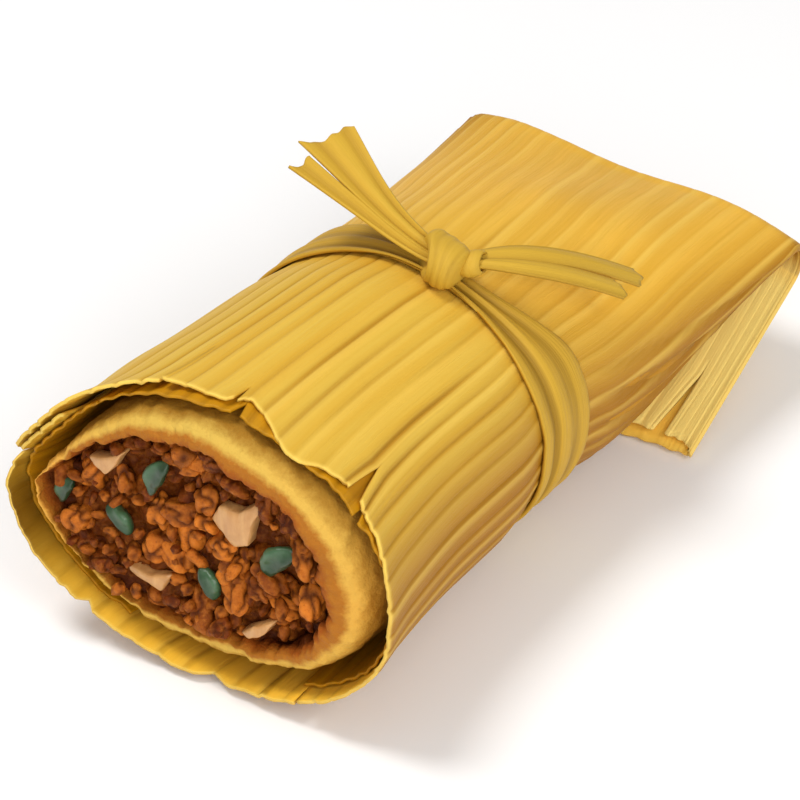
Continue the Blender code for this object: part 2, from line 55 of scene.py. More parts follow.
MM = 0.001
MOUTH = Vector((0.44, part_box("onion_1")[0].y / MM + 0.3, 0))  # middle of the mouth, in millimetres
FOLD_START, FOLD_RADIUS, FOLD_TURN, FLAP_LENGTH = 118.5, 3.4, math.radians(151), 38.5
FOLD_END = FOLD_START + FOLD_RADIUS * FOLD_TURN
LEAF_END = FOLD_END + FLAP_LENGTH
LEAF_START, LEAF_SPAN = math.radians(138), math.radians(392)
WALL = 0.8  # the CAD leaf's wall, on whose inner face the form's sizes are taken
FLAT_HALF_GAP = 0.45
HUSK_THICKNESS = 0.5
ON_FLOOR = 0
WAVE_START = 72  # distance from the mouth at which the flattened leaf starts to wave
# The upper left lip is drawn in at the mouth: how far, where round the parcel, and how far it reaches each way.
LIP_DRAWN_IN, LIP_ANGLE, LIP_SPREAD, LIP_DEPTH = 1.9, 2.62, 0.36, 18

# The form inside the leaf: (distance from the mouth, size), in millimetres.
HALF_WIDTH = [
    (0, 32.4), (8, 30.5), (25, 28.1), (42, 27.6), (50, 26.7), (60, 26.7), (68, 27.8), (95, 29.7), (118.5, 31.1),
]
TOP = [(0, 48), (20, 47.5), (40, 46.5), (50, 45), (60, 44.4), (68, 43.7), (84, 40.3), (103, 33.7), (118.5, 27.7)]
BOTTOM = [
    (0, 2.0), (9, 0.6), (20, -0.4), (40, -0.5), (49, 1.5), (61, 1.5),
    (70, 0.2), (80, 2.0), (88, 6.2), (100, 13.2), (110, 20), (118.5, 25.2),
]
SIDE_SHIFT = [(0, -0.5), (12, -0.4), (30, 0), (90, 0.6), (118.5, 1.7)]
ROUNDNESS = np.array((1.92, 1.72, 1.94, 2.27))


def curve_at(table, x):
    """A smooth curve through (x, value) pairs, without overshoot."""
    xs, values = np.array(table, float).T
    slopes = np.diff(values) / np.diff(xs)
    product, total = slopes[:-1] * slopes[1:], slopes[:-1] + slopes[1:]
    inner = np.where(product > 0, 2 * product / np.where(product > 0, total, 1), 0)
    tangents = np.concatenate([slopes[:1], inner, slopes[-1:]])
    x = np.clip(x, xs[0], xs[-1])
    i = np.clip(np.searchsorted(xs, x, side="right") - 1, 0, len(xs) - 2)
    step = xs[i + 1] - xs[i]
    t = (x - xs[i]) / step
    bent = tangents[i] * t * (1 - t) ** 2 + tangents[i + 1] * t * t * (t - 1)
    return values[i] * (1 + 2 * t) * (1 - t) ** 2 + values[i + 1] * t * t * (3 - 2 * t) + step * bent


def smooth_step(t):
    t = np.clip(t, 0, 1)
    return t * t * (3 - 2 * t)


def bell(distance, width):
    return np.exp(-((distance / width) ** 2))


def signed_power(value, power):
    return np.sign(value) * np.abs(value) ** power


def section(y, angle, outset):
    """x, middle height, height above it and wave of a point outset from the form's cross-section at y."""
    low, high = curve_at(BOTTOM, y), curve_at(TOP, y)
    half_height = np.maximum((high - low) / 2 - WALL, FLAT_HALF_GAP)
    half_width = curve_at(HALF_WIDTH, y) - WALL
    power = ROUNDNESS[(angle % (2 * np.pi) // (np.pi / 2)).astype(int)]
    x, z = signed_power(np.cos(angle), 2 / power), signed_power(np.sin(angle), 2 / power)
    normal = np.stack([signed_power(x, power - 1) / half_width, signed_power(z, power - 1) / half_height])
    normal /= np.linalg.norm(normal, axis=0)
    wave = -2.0 * x + 0.6 * (1 - np.cos(5.2 * x + 0.35)) - 1.5 * x**4
    wave = wave * smooth_step((y - WAVE_START) / (FOLD_START - WAVE_START))
    lip = bell(angle % (2 * np.pi) - LIP_ANGLE, LIP_SPREAD) * (1 - smooth_step(y / LIP_DEPTH))
    outset = outset - LIP_DRAWN_IN * lip
    across = curve_at(SIDE_SHIFT, y) + half_width * x + normal[0] * outset
    return across, (low + high) / 2, half_height * z + normal[1] * outset, wave


def wrapped(along, angle, outset):
    """Points of a leaf laid on the form: along it from the mouth, round the fold and down the flap."""
    along, angle, outset = np.broadcast_arrays(along, angle, outset)
    y = np.minimum(along, FOLD_START)
    x, middle, up, wave = section(y, angle, outset)
    turn = np.clip((along - FOLD_START) / FOLD_RADIUS, 0, FOLD_TURN)
    run = np.maximum(along - FOLD_END, 0)
    x = x * (1 - 0.012 * smooth_step(turn / FOLD_TURN))
    y = y + FOLD_RADIUS * np.sin(turn) + run * np.cos(turn) + up * np.sin(turn)
    z = middle + wave * (1 - run / FLAP_LENGTH) - FOLD_RADIUS * (1 - np.cos(turn)) - run * np.sin(turn)
    return np.stack([x + MOUTH.x, y + MOUTH.y, z + up * np.cos(turn)], -1)


def rough(points, size, seed):
    """Smooth noise, -1 to 1, at points in millimetres, in lumps about `size` across."""
    return np.array([noise.noise(Vector(p)) for p in points / size + seed * 7.31])


def on_leaf(along, around):
    """Points for noise that runs in long fibres along a leaf."""
    return np.stack([around, along, np.zeros_like(along)], -1)


def torn_by(across, *lumps):
    """How ragged an edge torn across the fibres is: (size, amount, seed) of each kind of lump."""
    return sum(amount * rough(on_leaf(0 * across, across), size, seed) for size, amount, seed in lumps)


def only(obj):
    """Selects one object alone."""
    bpy.ops.object.select_all(action="DESELECT")
    obj.select_set(True)
    bpy.context.view_layer.objects.active = obj


def mode(name):
    bpy.ops.object.mode_set(mode=name)


def primitive(name, add, **settings):
    """Adds a primitive with nothing else selected."""
    bpy.ops.object.select_all(action="DESELECT")
    add(**settings)
    obj = bpy.context.object
    obj.name = obj.data.name = name
    return obj


def lay(obj, points):
    """Puts the vertices at points given in millimetres."""
    obj.data.vertices.foreach_set("co", (points * MM).ravel())


def apply_modifier(obj, kind, **settings):
    only(obj)
    modifier = obj.modifiers.new(kind.lower(), kind)
    for name, value in settings.items():
        setattr(modifier, name, value)
    bpy.ops.object.modifier_apply(modifier=modifier.name)


def paint(obj, **values):
    """Keeps a number at each vertex, for the material."""
    for name, value in values.items():
        obj.data.attributes.new(name, "FLOAT", "POINT").data.foreach_set("value", np.asarray(value, np.float32))


def laid_sheet(name, rows, columns, surface, flip=True):
    """A grid primitive laid on a surface. A column listed twice is a tear, open where its sides lie apart."""
    subdivisions = dict(x_subdivisions=len(columns) - 1, y_subdivisions=len(rows) - 1)
    obj = primitive(name, bpy.ops.mesh.primitive_grid_add, **subdivisions)
    twice = np.isclose(np.diff(columns), 0)
    side = np.zeros(len(columns))
    side[:-1][twice], side[1:][twice] = -1, 1
    across, along = np.tile(columns, len(rows)), np.repeat(rows, len(columns))
    points, values = surface(along, across, np.tile(side, len(rows)))
    lay(obj, points)
    paint(obj, **values)
    only(obj)
    mode("EDIT")
    bpy.ops.mesh.select_mode(type="FACE")
    if twice.any():
        mode("OBJECT")
        obj.data.polygons.foreach_set("select", np.tile(twice, len(rows) - 1))
        mode("EDIT")
        bpy.ops.mesh.delete(type="ONLY_FACE")
    bpy.ops.mesh.select_mode(type="VERT")
    bpy.ops.mesh.select_all(action="SELECT")
    bpy.ops.mesh.remove_doubles(threshold=1e-6)
    if flip:
        bpy.ops.mesh.flip_normals()
    mode("OBJECT")
    obj.data.shade_smooth()
    return obj


class Wire:
    """A socket of a material. Sums on it add Math nodes."""

    def __init__(self, finish, socket):
        self.finish, self.socket = finish, socket

    def sum(self, operation, *values):
        return self.finish.node("Math", dict(operation=operation), dict(enumerate(values)))

    def __add__(self, other):
        return self.sum("ADD", self, other)

    def __sub__(self, other):
        return self.sum("SUBTRACT", self, other)

    def __rsub__(self, other):
        return self.sum("SUBTRACT", other, self)

    def __mul__(self, other):
        return self.sum("MULTIPLY", self, other)

    __radd__, __rmul__ = __add__, __mul__

    def between(self, low, high):
        """0 at low, 1 at high, held outside them."""
        return self.finish.node("MapRange", {}, {"Value": self, "From Min": low, "From Max": high})


class Finish:
    """A material: a Principled shader whose other nodes are added by `node`."""

    def __init__(self, name, **constants):
        self.material = bpy.data.materials.new(name)
        self.material.use_nodes = True
        self.tree = self.material.node_tree
        self.shader = self.tree.nodes["Principled BSDF"]
        self.give(**constants)

    def node(self, kind, settings, inputs, output=0):
        made = self.tree.nodes.new("ShaderNode" + kind)
        for name, value in settings.items():
            setattr(made, name, value)
        for key, value in inputs.items():
            self.feed(made.inputs[key], value)
        return Wire(self, made.outputs[output])

    def feed(self, socket, value):
        if isinstance(value, Wire):
            self.tree.links.new(value.socket, socket)
        elif hasattr(socket.default_value, "__len__") and len(value) == 3 and len(socket.default_value) == 4:
            socket.default_value = (*value, 1)
        else:
            socket.default_value = value

    def give(self, **inputs):
        for name, value in inputs.items():
            self.feed(self.shader.inputs[name.replace("_", " ")], value)

    def kept(self, name):
        """A number painted on the piece."""
        return self.node("Attribute", dict(attribute_name=name), {}, "Fac")

    def place(self, x, y=None, z=None):
        """Object coordinates in millimetres, stretched along each axis, or all alike."""
        here = self.node("TexCoord", {}, {}, "Object")
        return self.node("Mapping", {}, {"Vector": here, "Scale": (x / MM, (y or x) / MM, (z or x) / MM)})

    def along_leaf(self, across, along):
        """The leaf's own coordinates, stretched into fibres."""
        run, side = self.kept("along"), self.kept("around")
        return self.node("CombineXYZ", {}, {"X": side * across, "Y": run * along})

    def grain(self, vector, detail=3.0, roughness=0.55):
        inputs = {"Vector": vector, "Scale": 1.0, "Detail": detail, "Roughness": roughness}
        return self.node("TexNoise", {}, inputs, "Fac")

    def mixed(self, factor, one, two):
        inputs = {0: factor, 6: one, 7: two}
        return self.node("Mix", dict(data_type="RGBA"), inputs, 2)

    def layered(self, colour, *layers):
        """A colour with others laid over it in turn: (how much, colour)."""
        for factor, over in layers:
            colour = self.mixed(factor, colour, over)
        return colour

    def bumped(self, height, distance, under=None):
        inputs = {"Height": height, "Distance": distance, "Strength": 1.0}
        if under:
            inputs["Normal"] = under
        return self.node("Bump", {}, inputs)


def finished(obj, finish, slot, *nodes):
    """Gives a finished piece its material, hangs it from the root and hides the CAD nodes that it stands for. The slot
    is not used.
    """
    obj.data.materials.append(finish.material)
    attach(obj, "root")
    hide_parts(*nodes)
    return obj


# Where the torn edge lies back from the mouth's plane: (degrees round the parcel, millimetres).
MOUTH_EDGE = [
    (0, -1.4), (7, -1), (13.5, -0.5), (21.5, 1.3), (27, 2.6), (33, 2.8), (38, 3.3), (42.5, 4.2), (48, 3.2), (52.5, 2.4),
    (57, 0.7), (61.5, 0.6), (66, 1.9), (70, 3.3), (74.5, 4.7), (79, 5.4), (81.5, 5), (83, 3), (90, 2.8), (101, 2.9),
    (108, 2.3), (115, 1.2), (124, -0.4), (134, -1.4), (150, -1.3), (165, -0.6), (168.5, -0.2), (171, 1.6), (174, -0.8),
    (184, -2.6), (205, -3.1), (222, -2.9), (229, -2.6), (232, -1.1), (235, -2.6), (258, -1.8), (269, -1.6), (272, 0),
    (276, -1.5), (296, -1.6), (310, -1.7), (330, -1.4), (350, -1.2), (360, -1.4),
]
# Tears from the mouth: degrees, depth, width at the edge, and how far the two sides lift.
MOUTH_TEARS = [
    (40.3, 7.5, 2.4, 0.25, 0.1), (106.5, 12, 0.7, 0.6, 0), (82.2, 4, 0.7, 0.1, 0.3), (170.5, 4, 1.4, 0.2, 0.4),
    (299, 4, 0.6, 0.2, 0),
]
SPLIT_DEGREES, SPLIT_LEAN, SPLIT_LENGTH, SPLIT_WIDTH = 316.4, 5.2, 12.5, 2.94
PLY_SHORTER = 1.9  # how far the flap's upper ply stops short of its lower one
REFERENCE_Y = 25
RIB_WIDTHS = (2.7, 4.6)
RIB_SHARES = (0, 0.06, 0.14, 0.3, 0.5, 0.7, 0.86, 0.94)
RIB_PROFILE = [(0, 0), (0.12, 0.25), (0.5, 0.6), (0.86, 1), (0.94, 0.8), (1, 0)]


def arcs_round(turns, outset):
    """How far round a leaf each angle lies, from its first edge."""
    outline = wrapped(REFERENCE_Y, turns, outset)
    return np.concatenate([[0], np.cumsum(np.linalg.norm(np.diff(outline, axis=0), axis=1))])


chance = np.random.default_rng(11)
turns = np.linspace(LEAF_START, LEAF_START + LEAF_SPAN + math.radians(40), 6000)
turn_arcs = arcs_round(turns, WALL)
leaf_width = float(np.interp(LEAF_START + LEAF_SPAN, turns, turn_arcs))
rib_edges = [0.0]
while rib_edges[-1] < leaf_width - RIB_WIDTHS[1]:
    rib_edges.append(rib_edges[-1] + chance.uniform(*RIB_WIDTHS))
rib_edges = np.array(rib_edges + [leaf_width])
rib_depths = chance.uniform(0.2, 1.0, len(rib_edges)) ** 0.8
# Deep creases where the log's side is drawn into the fold: degrees past the tie and at the fold, depth, half width.
SIDE_CREASES = [
    (16, -2, 0.45, 0.9), (3, -16, 0.95, 1.1), (-10, -22, 1.1, 1.1), (-20, -29, 0.7, 0.9), (-33, -40, 0.5, 0.9),
    (170, 182, 0.5, 1.0), (187, 196, 0.8, 1.0), (203, 208, 0.6, 1.0), (216, 220, 0.5, 0.9),
]
CREASE_START, CREASE_END = 62, 103
MM_PER_DEGREE = 0.48


def arc_of(degrees):
    """How far round the leaf, from its first edge, an angle of the parcel lies."""
    return float(np.interp(math.radians(degrees + (360 if degrees < 149 else 0)), turns, turn_arcs))


def lap_lift(turned):
    """How far the leaf climbs over its own first edge."""
    return (WALL + 0.3) * smooth_step((turned - math.radians(310)) / math.radians(50))


# How the leaf leans to the left beyond the tie, by distance, and how much of that each side takes, by degrees.
LEAN = [
    (0, 0), (56, 0), (60, 0.15), (70, 1.4), (80, 3.3), (90, 5.9), (100, 8.9), (110, 12), (118.5, 14.7),
    (124, 15.5), (170, 15.5),
]
LEANING = [(0, 0.35), (10, 0.55), (30, 0.73), (50, 0.87), (70, 1), (170, 1), (262, 0.2), (330, 0.1), (360, 0.35)]
# The leaf's relief by distance along it: deep near the mouth, faint beyond the tie.
GROOVES = [(0, 0.34), (40, 0.32), (54, 0.16), (66, 0.14), (80, 0.07), (118, 0.05), (130, 0.05), (165, 0.08)]
BULGES = [(0, 0.12), (6, 0.2), (45, 0.18), (60, 0.06), (80, 0.04), (118, 0.02), (124, 0.06), (132, 0.14), (165, 0.14)]
SWELLS = [(0, 0.3), (45, 0.2), (54, 0.05), (66, 0.08), (90, 0.14), (118, 0.12), (165, 0.1)]
FLARE = [(0, 0.2), (60, 0.05), (100, 0.3), (140, 0.8), (165, 0.5), (200, 0.2), (300, 0.1), (360, 0.2)]  # by degrees


def groove_depth(along, rib):
    """Depth of the grooves between ribs, coming and going."""
    fade = rough(np.stack([rib * 3.7, along / 32, np.zeros_like(along)], -1), 1, 3)
    return curve_at(GROOVES, along) * rib_depths[rib] * np.clip(0.8 + 1.4 * fade, 0.1, 1.3)


def opening_at(share, width, distance):
    """Half the opening of a tear, felt up to 4 mm either side."""
    return width / 2 * np.clip(share, 0, 1) ** 0.85 * np.clip(1 - np.abs(distance) / 4, 0, 1)


def hand_of(distance, side):
    """-1 or 1, by the side of a tear that a point is on. A column on the tear goes by its own side."""
    return np.where(np.abs(distance) < 1e-9, side, np.sign(distance))


def husk_surface(along, across, side):
    """The outer face of the leaf, and what its material needs to know."""
    unleaned = np.interp(across, turn_arcs, turns)
    degrees = np.degrees(unleaned) % 360
    leaned = across + curve_at(LEAN, along) * curve_at(LEANING, degrees)
    edge = np.interp(degrees, *np.array(MOUTH_EDGE).T)
    angle = np.interp(leaned, turn_arcs, turns)
    degrees = np.degrees(angle) % 360
    fray = torn_by(across, (1.1, 0.3, 5), (3.5, 0.35, 8))
    down_flap = np.clip((along - FOLD_END) / FLAP_LENGTH, 0, 1)
    upper_ply = smooth_step(-2.5 * np.sin(angle))
    short = PLY_SHORTER * down_flap * upper_ply + down_flap * torn_by(across, (2.2, 0.5, 4))
    v = along + (edge + fray) * np.clip(1 - along / 20, 0, 1) - short

    rib = np.clip(np.searchsorted(rib_edges, across, side="right") - 1, 0, len(rib_edges) - 2)
    start, end = rib_edges[rib], rib_edges[rib + 1]
    share = (across - start) / (end - start)
    nearest = rib + (share > 0.5)
    off = np.minimum(across - start, end - across)
    depth = groove_depth(v, nearest)
    shaded_groove = 0.85 * depth * bell(off, 0.36)
    lift = curve_at(BULGES, v) * curve_at(RIB_PROFILE, share) * (0.4 + 0.6 * rib_depths[nearest])
    swell = rough(on_leaf(v / 14, across), 9, 2) * curve_at(SWELLS, v)
    crease = np.zeros_like(v)
    strength = smooth_step((v - CREASE_START + 2) / 14) * (1 - smooth_step((v - CREASE_END) / 13))
    for near, far, deep, half in SIDE_CREASES:
        middle = near + (far - near) * np.clip((v - CREASE_START) / (FOLD_START - CREASE_START), 0, 1.15)
        away = ((degrees - middle + 180) % 360 - 180) * MM_PER_DEGREE
        crease += deep * strength * bell(away, half)
    base = curve_at([(0, 1.15), (90, 1.1), (112, 0.6), (165, 0.55)], v)
    outset = base + lap_lift(unleaned - LEAF_START) + lift - shaded_groove - crease + swell
    outset += curve_at(FLARE, degrees) * np.clip(1 - (v - edge) / 7, 0, 1) ** 2

    shift = np.zeros_like(v)
    for tear, deep, width, lift_before, lift_after in MOUTH_TEARS:
        distance = across - arc_of(tear)
        way = hand_of(distance, side)
        torn = 1 - (v - np.interp(tear, *np.array(MOUTH_EDGE).T)) / deep
        shift += way * opening_at(torn, width, distance)
        curl = np.where(way > 0, lift_after, lift_before)
        outset += curl * np.clip(torn, 0, 1) * np.exp(-np.abs(distance) / 1.6)
    torn = 1 - (LEAF_END - PLY_SHORTER - v) / SPLIT_LENGTH
    distance = across - arc_of(SPLIT_DEGREES)
    shift += hand_of(distance, side) * opening_at(torn, SPLIT_WIDTH, distance)
    angle = np.interp(leaned + shift, turn_arcs, turns)
    lean = SPLIT_LEAN * np.clip(1 - torn, 0, 1) * bell(distance, 6) * (v > FOLD_END)
    points = wrapped(v, angle + np.radians(lean), outset)
    points[:, 2] = np.maximum(points[:, 2], ON_FLOOR)
    # crest_highlight: painted highlight along the rib crests, fading where the grooves are deep
    crest_highlight = curve_at(RIB_PROFILE, share) ** 3 * (1 - shaded_groove / 0.2)
    return points, {
        "along": v,
        "around": across,
        # shaded_groove: painted shade, darker in the grooves between ribs and in the deep creases
        "shaded_groove": np.clip(bell(off, 0.45) * depth / 0.3 + 1.2 * crease, 0, 1),
        # flap: painted light on the flap's face under the parcel, where the lamps hardly reach
        "flap": smooth_step((v - FOLD_END + 6) / 10) * (1 - 0.75 * smooth_step(2.5 * np.sin(angle) + 0.5)),
        # left: painted shade on the inside at the left
        "left": bell(degrees - 195, 30),
        "torn": np.clip(1 - (v - edge - fray) / 0.7, 0, 1),
        # side: down the parcel's sides, where the husk is painted with shade
        "side": smooth_step((0.75 - np.sin(angle)) / 0.9) * (v < FOLD_END),
        "crest_highlight": np.clip(crest_highlight * rib_depths[nearest], 0, 1) * (v < FOLD_END),
    }


def with_tears(columns, places):
    """The columns, the nearest one to each tear moved onto it and listed twice."""
    for place in places:
        nearest = np.abs(columns - place).argmin()
        columns[nearest] = place
        columns = np.insert(columns, nearest, place)
    return columns


husk_rows = np.concatenate([
    [0, 0.25, 0.55, 0.9, 1.3, 1.8, 2.4, 3.1, 4, 5, 6.2, 7.5, 9, 10.8, 12.8, 15, 17.5],
    np.arange(20, 44, 2.6), np.arange(44.5, 66, 1.9), np.arange(67, 110, 3.0), np.linspace(111, FOLD_START, 5),
    np.linspace(FOLD_START, FOLD_END, 13)[1:], np.linspace(FOLD_END, LEAF_END - 10, 10)[1:],
    np.linspace(LEAF_END - 10, LEAF_END, 8)[1:],
])
husk_columns = [np.array(RIB_SHARES) * (b - a) + a for a, b in zip(rib_edges, rib_edges[1:])]
husk_columns = np.concatenate(husk_columns + [[leaf_width]])
husk_columns = with_tears(husk_columns, [arc_of(degrees) for degrees, *_ in MOUTH_TEARS] + [arc_of(SPLIT_DEGREES)])
husk = laid_sheet("outer_husk", husk_rows, husk_columns, husk_surface)
outside = len(husk.data.polygons)
apply_modifier(husk, "SOLIDIFY", thickness=HUSK_THICKNESS * MM, offset=-1)


# Painted shade, browner and darker, down the parcel's sides.
SIDE_SHADE_BROWN = (0.37, 0.15, 0.003)


def husk_finish(name, near, far, dark, deep, pale, roughness, sides=0.0, inside=False):
    """Dry husk: straw gold, browner down its long fibres, with painted shade in its grooves and creases, a painted
    highlight on its rib crests, painted shade down its sides and painted light on its flap. The five colours come
    first.
    """
    finish = Finish(name, Specular_IOR_Level=0.2)
    fibre = finish.grain(finish.along_leaf(2.6, 0.05), 4, 0.6)
    streak = finish.grain(finish.along_leaf(0.42, 0.016), 2)
    cloud = finish.grain(finish.place(0.05, 0.03, 0.05), 2)
    shaded_groove = finish.kept("shaded_groove")
    # Painted light: the flap is paler as if lit, with painted shade in its grooves.
    flap_light_colour = finish.mixed(shaded_groove.between(0.2, 1), (0.99, 0.75, 0.22), (0.8, 0.48, 0.07))
    colour = finish.layered(
        finish.mixed(finish.kept("along").between(40, 85), near, far),
        (streak.between(0.35, 0.7) * 0.48, dark),
        (fibre.between(0.45, 0.8) * 0.38, dark),
        (cloud.between(0.45, 0.75) * 0.25, dark),
        # painted shade down the sides
        (finish.kept("side") * sides, SIDE_SHADE_BROWN),
        # painted highlight on the crests
        (finish.kept("crest_highlight") * 0.5, pale),
        # painted shade in the grooves, creases and pleats
        ((shaded_groove * 0.7).between(0, 1), deep),
        # painted light on the flap
        (finish.kept("flap") * 0.9, flap_light_colour),
        (finish.kept("torn") * 0.6, pale),
    )
    if inside:
        # painted shade on the left of the inside, in the groove colour
        colour = finish.mixed(finish.kept("left") * 0.95, colour, deep)
    finish.give(Base_Color=colour, Roughness=fibre * 0.2 + (roughness - 0.1))
    vein = finish.bumped(fibre, 0.15 * MM)
    finish.give(Normal=finish.bumped(streak, 0.15 * MM, vein))
    return finish


# Near the mouth, beyond the tie, down the darker fibres, the painted shade in the grooves, and the painted highlight on
# the crests and the pale of the torn edges.
husk_colours = (0.68, 0.435, 0.056), (0.86, 0.475, 0.05), (0.64, 0.325, 0.014), (0.36, 0.16, 0.005), (0.95, 0.66, 0.13)
# The inside's colours are raised above the outside's as painted light, for a face the lamps hardly reach.
husk_inside_painted_light = (0.97, 0.56, 0.05), (0.97, 0.56, 0.05), (0.84, 0.45, 0.025), (0.15, 0.064, 0.001), (0.86, 0.58, 0.09)
finished(husk, husk_finish("dry_husk", *husk_colours, 0.55, 1.0), "husk", "outer_leaf")
husk.data.materials.append(husk_finish("husk_inside_painted_light", *husk_inside_painted_light, 0.5, inside=True).material)
for face in husk.data.polygons[outside:2 * outside]:
    face.material_index = 1

# ---------------------------------------------------------------------------------------------
# Inner husk leaf. A second, deeper gold leaf lies inside the first and shows in its tears and
# round the masa. It is thin and ribbed like the outer one, and is held by the wrapping alone.

INNER_START, INNER_SPAN, INNER_END, INNER_THICKNESS = -62, 304, 90, 0.4
INNER_EDGE = [
    (0, 1.9), (20, 1.6), (26, 1.8), (34, 1.5), (38, 2.6), (46, 2.2), (60, 1.5), (70, 2.0), (78, 2.2), (90, 1.2),
    (110, 1.4), (140, 0.5), (180, 0.8), (270, 1.8), (360, 1.9),
]
INNER_TEARS = [(35.2, 3.4, 1.2), (79.8, 3.2, 1.6), (128, 3, 0.6)]
inner_turns = np.radians(np.linspace(INNER_START, INNER_START + INNER_SPAN, 3000))
inner_arcs = arcs_round(inner_turns, 0)


def inner_arc_of(degrees):
    return float(np.interp(math.radians(degrees), inner_turns, inner_arcs))


def inner_surface(along, across, side):
    angle = np.interp(across, inner_arcs, inner_turns)
    degrees = np.degrees(angle)
    edge = np.interp(degrees % 360, *np.array(INNER_EDGE).T)
    fray = torn_by(across, (1.3, 0.35, 12), (4, 0.5, 13))
    v = along + (edge + fray) * np.clip(1 - along / 20, 0, 1)
    ridge = 0.5 + 0.5 * np.cos(across * 2 * np.pi / 2.9 + 1.2 * rough(on_leaf(v / 8, across), 6, 14))
    outset = 0.3 + 0.25 * ridge**0.6 + 0.15 * rough(on_leaf(v / 4, across), 5, 15)
    shift = np.zeros_like(v)
    for tear, deep, width in INNER_TEARS:
        distance = across - inner_arc_of(tear)
        torn = 1 - (v - np.interp(tear, *np.array(INNER_EDGE).T)) / deep
        shift += hand_of(distance, side) * opening_at(torn, width, distance)
    points = wrapped(v, np.interp(across + shift, inner_arcs, inner_turns), outset)
    points[:, 2] = np.maximum(points[:, 2], WALL)
    # shaded_groove: painted shade between the ridges
    return points, {"along": v, "around": across, "shaded_groove": (1 - ridge) ** 3 * 0.6}


inner_rows = np.concatenate([[0, 0.3, 0.7, 1.2, 1.8, 2.6, 3.6, 5, 7, 10, 14, 20], np.arange(26, INNER_END + 1, 8)])
inner_columns = with_tears(np.linspace(0, inner_arcs[-1], 330), [inner_arc_of(tear) for tear, *_ in INNER_TEARS])
inner_husk = laid_sheet("inner_husk", inner_rows, inner_columns, inner_surface)
apply_modifier(inner_husk, "SOLIDIFY", thickness=INNER_THICKNESS * MM, offset=-1)
inner_colours = (0.54, 0.25, 0.004), (0.54, 0.25, 0.004), (0.42, 0.18, 0.003), (0.24, 0.1, 0.003), (0.7, 0.36, 0.02)
inner_finish = husk_finish("deep_gold_husk", *inner_colours, 0.5)
finished(inner_husk, inner_finish, "inner_husk", "inner_leaf")

# ---------------------------------------------------------------------------------------------
# Masa. Steamed maize dough, spread as a log round the filling: firm, finely pitted, pale yellow,
# and stained orange brown by the sauce where it meets the meat.

MASA_INSET = 1.3
MASA_FRONT, RIM_BACK = -1.8, 6.2
FILL_FRONT, FILL_END = 0.6, 97
MASA_WALL = [(0, 7.6), (50, 6.9), (90, 5.5), (130, 3.5), (180, 2.3), (225, 2.1), (270, 2.6), (315, 4.6), (360, 7.6)]
# How far the masa stands clear of the husk at the mouth, by degrees.
LOOSE = [(0, 0.8), (45, 0.2), (90, 0.3), (135, 0.3), (180, 0.5), (225, 0.5), (270, 1.7), (315, 1.8), (360, 0.8)]
# How far the sauce has soaked out through the masa's rim, and where the rim is browner, by degrees.
STAIN = [(0, 0.22), (60, 0.2), (100, 0.16), (140, -0.05), (180, -0.45), (240, -0.4), (290, -0.1), (360, 0.22)]
BROWNER = [(0, 0.65), (45, 0.3), (90, 0.1), (130, 0.3), (165, 1), (205, 0.9), (235, 0.3), (280, 0.25), (360, 0.65)]
SIDES = 440
round_log = 2 * np.pi * np.arange(SIDES) / SIDES
loose = curve_at(LOOSE, np.degrees(round_log))


def masa_ring(y, closing=1.0):
    """A ring of the masa's outside at y, drawn towards its middle."""
    x, middle, up, wave = section(np.full(SIDES, float(y)), round_log, -MASA_INSET - loose * (1 - smooth_step(y / 16)))
    z = np.maximum(middle + wave + up, WALL + MASA_INSET)
    centre = np.array([curve_at(SIDE_SHIFT, y), float(y), middle[0]])
    ring = np.stack([x, np.full(SIDES, float(y)), z], -1)
    return centre + (ring - centre) * closing


def fill_ring(y, inset, ragged=0.0):
    """A ring of the filling's side at y, inset from the masa, with a ragged edge."""
    share = smooth_step(y / 45)
    wall = curve_at(MASA_WALL, np.degrees(round_log)) * (1 - share) + 5.4 * share
    wall = wall * (1 + 0.11 * np.sin(3 * round_log + 1) + 0.09 * np.sin(7 * round_log) + 0.05 * np.sin(12 * round_log))
    if ragged:
        spots = np.stack([30 * np.cos(round_log), np.full(SIDES, y * 0.6), 22 * np.sin(round_log)], -1)
        wall = wall + ragged * (rough(spots, 3.2, 20) + 0.6 * rough(spots, 1.5, 21) + 0.3 * rough(spots, 0.7, 22))
    inward = MASA_INSET + wall + inset + loose * (1 - smooth_step(y / 16))
    low, high = curve_at(BOTTOM, y), curve_at(TOP, y)
    half_height, half_width = (high - low) / 2 - WALL, curve_at(HALF_WIDTH, y) - WALL
    shift = curve_at(SIDE_SHIFT, y)
    x, middle, up, wave = section(np.full(SIDES, float(y)), round_log, 0)
    x = shift + (x - shift) * (1 - inward / half_width)
    return np.stack([x, np.full(SIDES, float(y)), middle + wave + up * (1 - inward / half_height)], -1)


def blended(one, two, share, y):
    ring = one * (1 - share) + two * share
    ring[:, 1] = y
    return ring


def points_of(obj):
    points = np.empty(len(obj.data.vertices) * 3)
    obj.data.vertices.foreach_get("co", points)
    return points.reshape(-1, 3) / MM


def face_outwards(obj):
    only(obj)
    mode("EDIT")
    bpy.ops.mesh.select_all(action="SELECT")
    bpy.ops.mesh.normals_make_consistent(inside=False)
    mode("OBJECT")


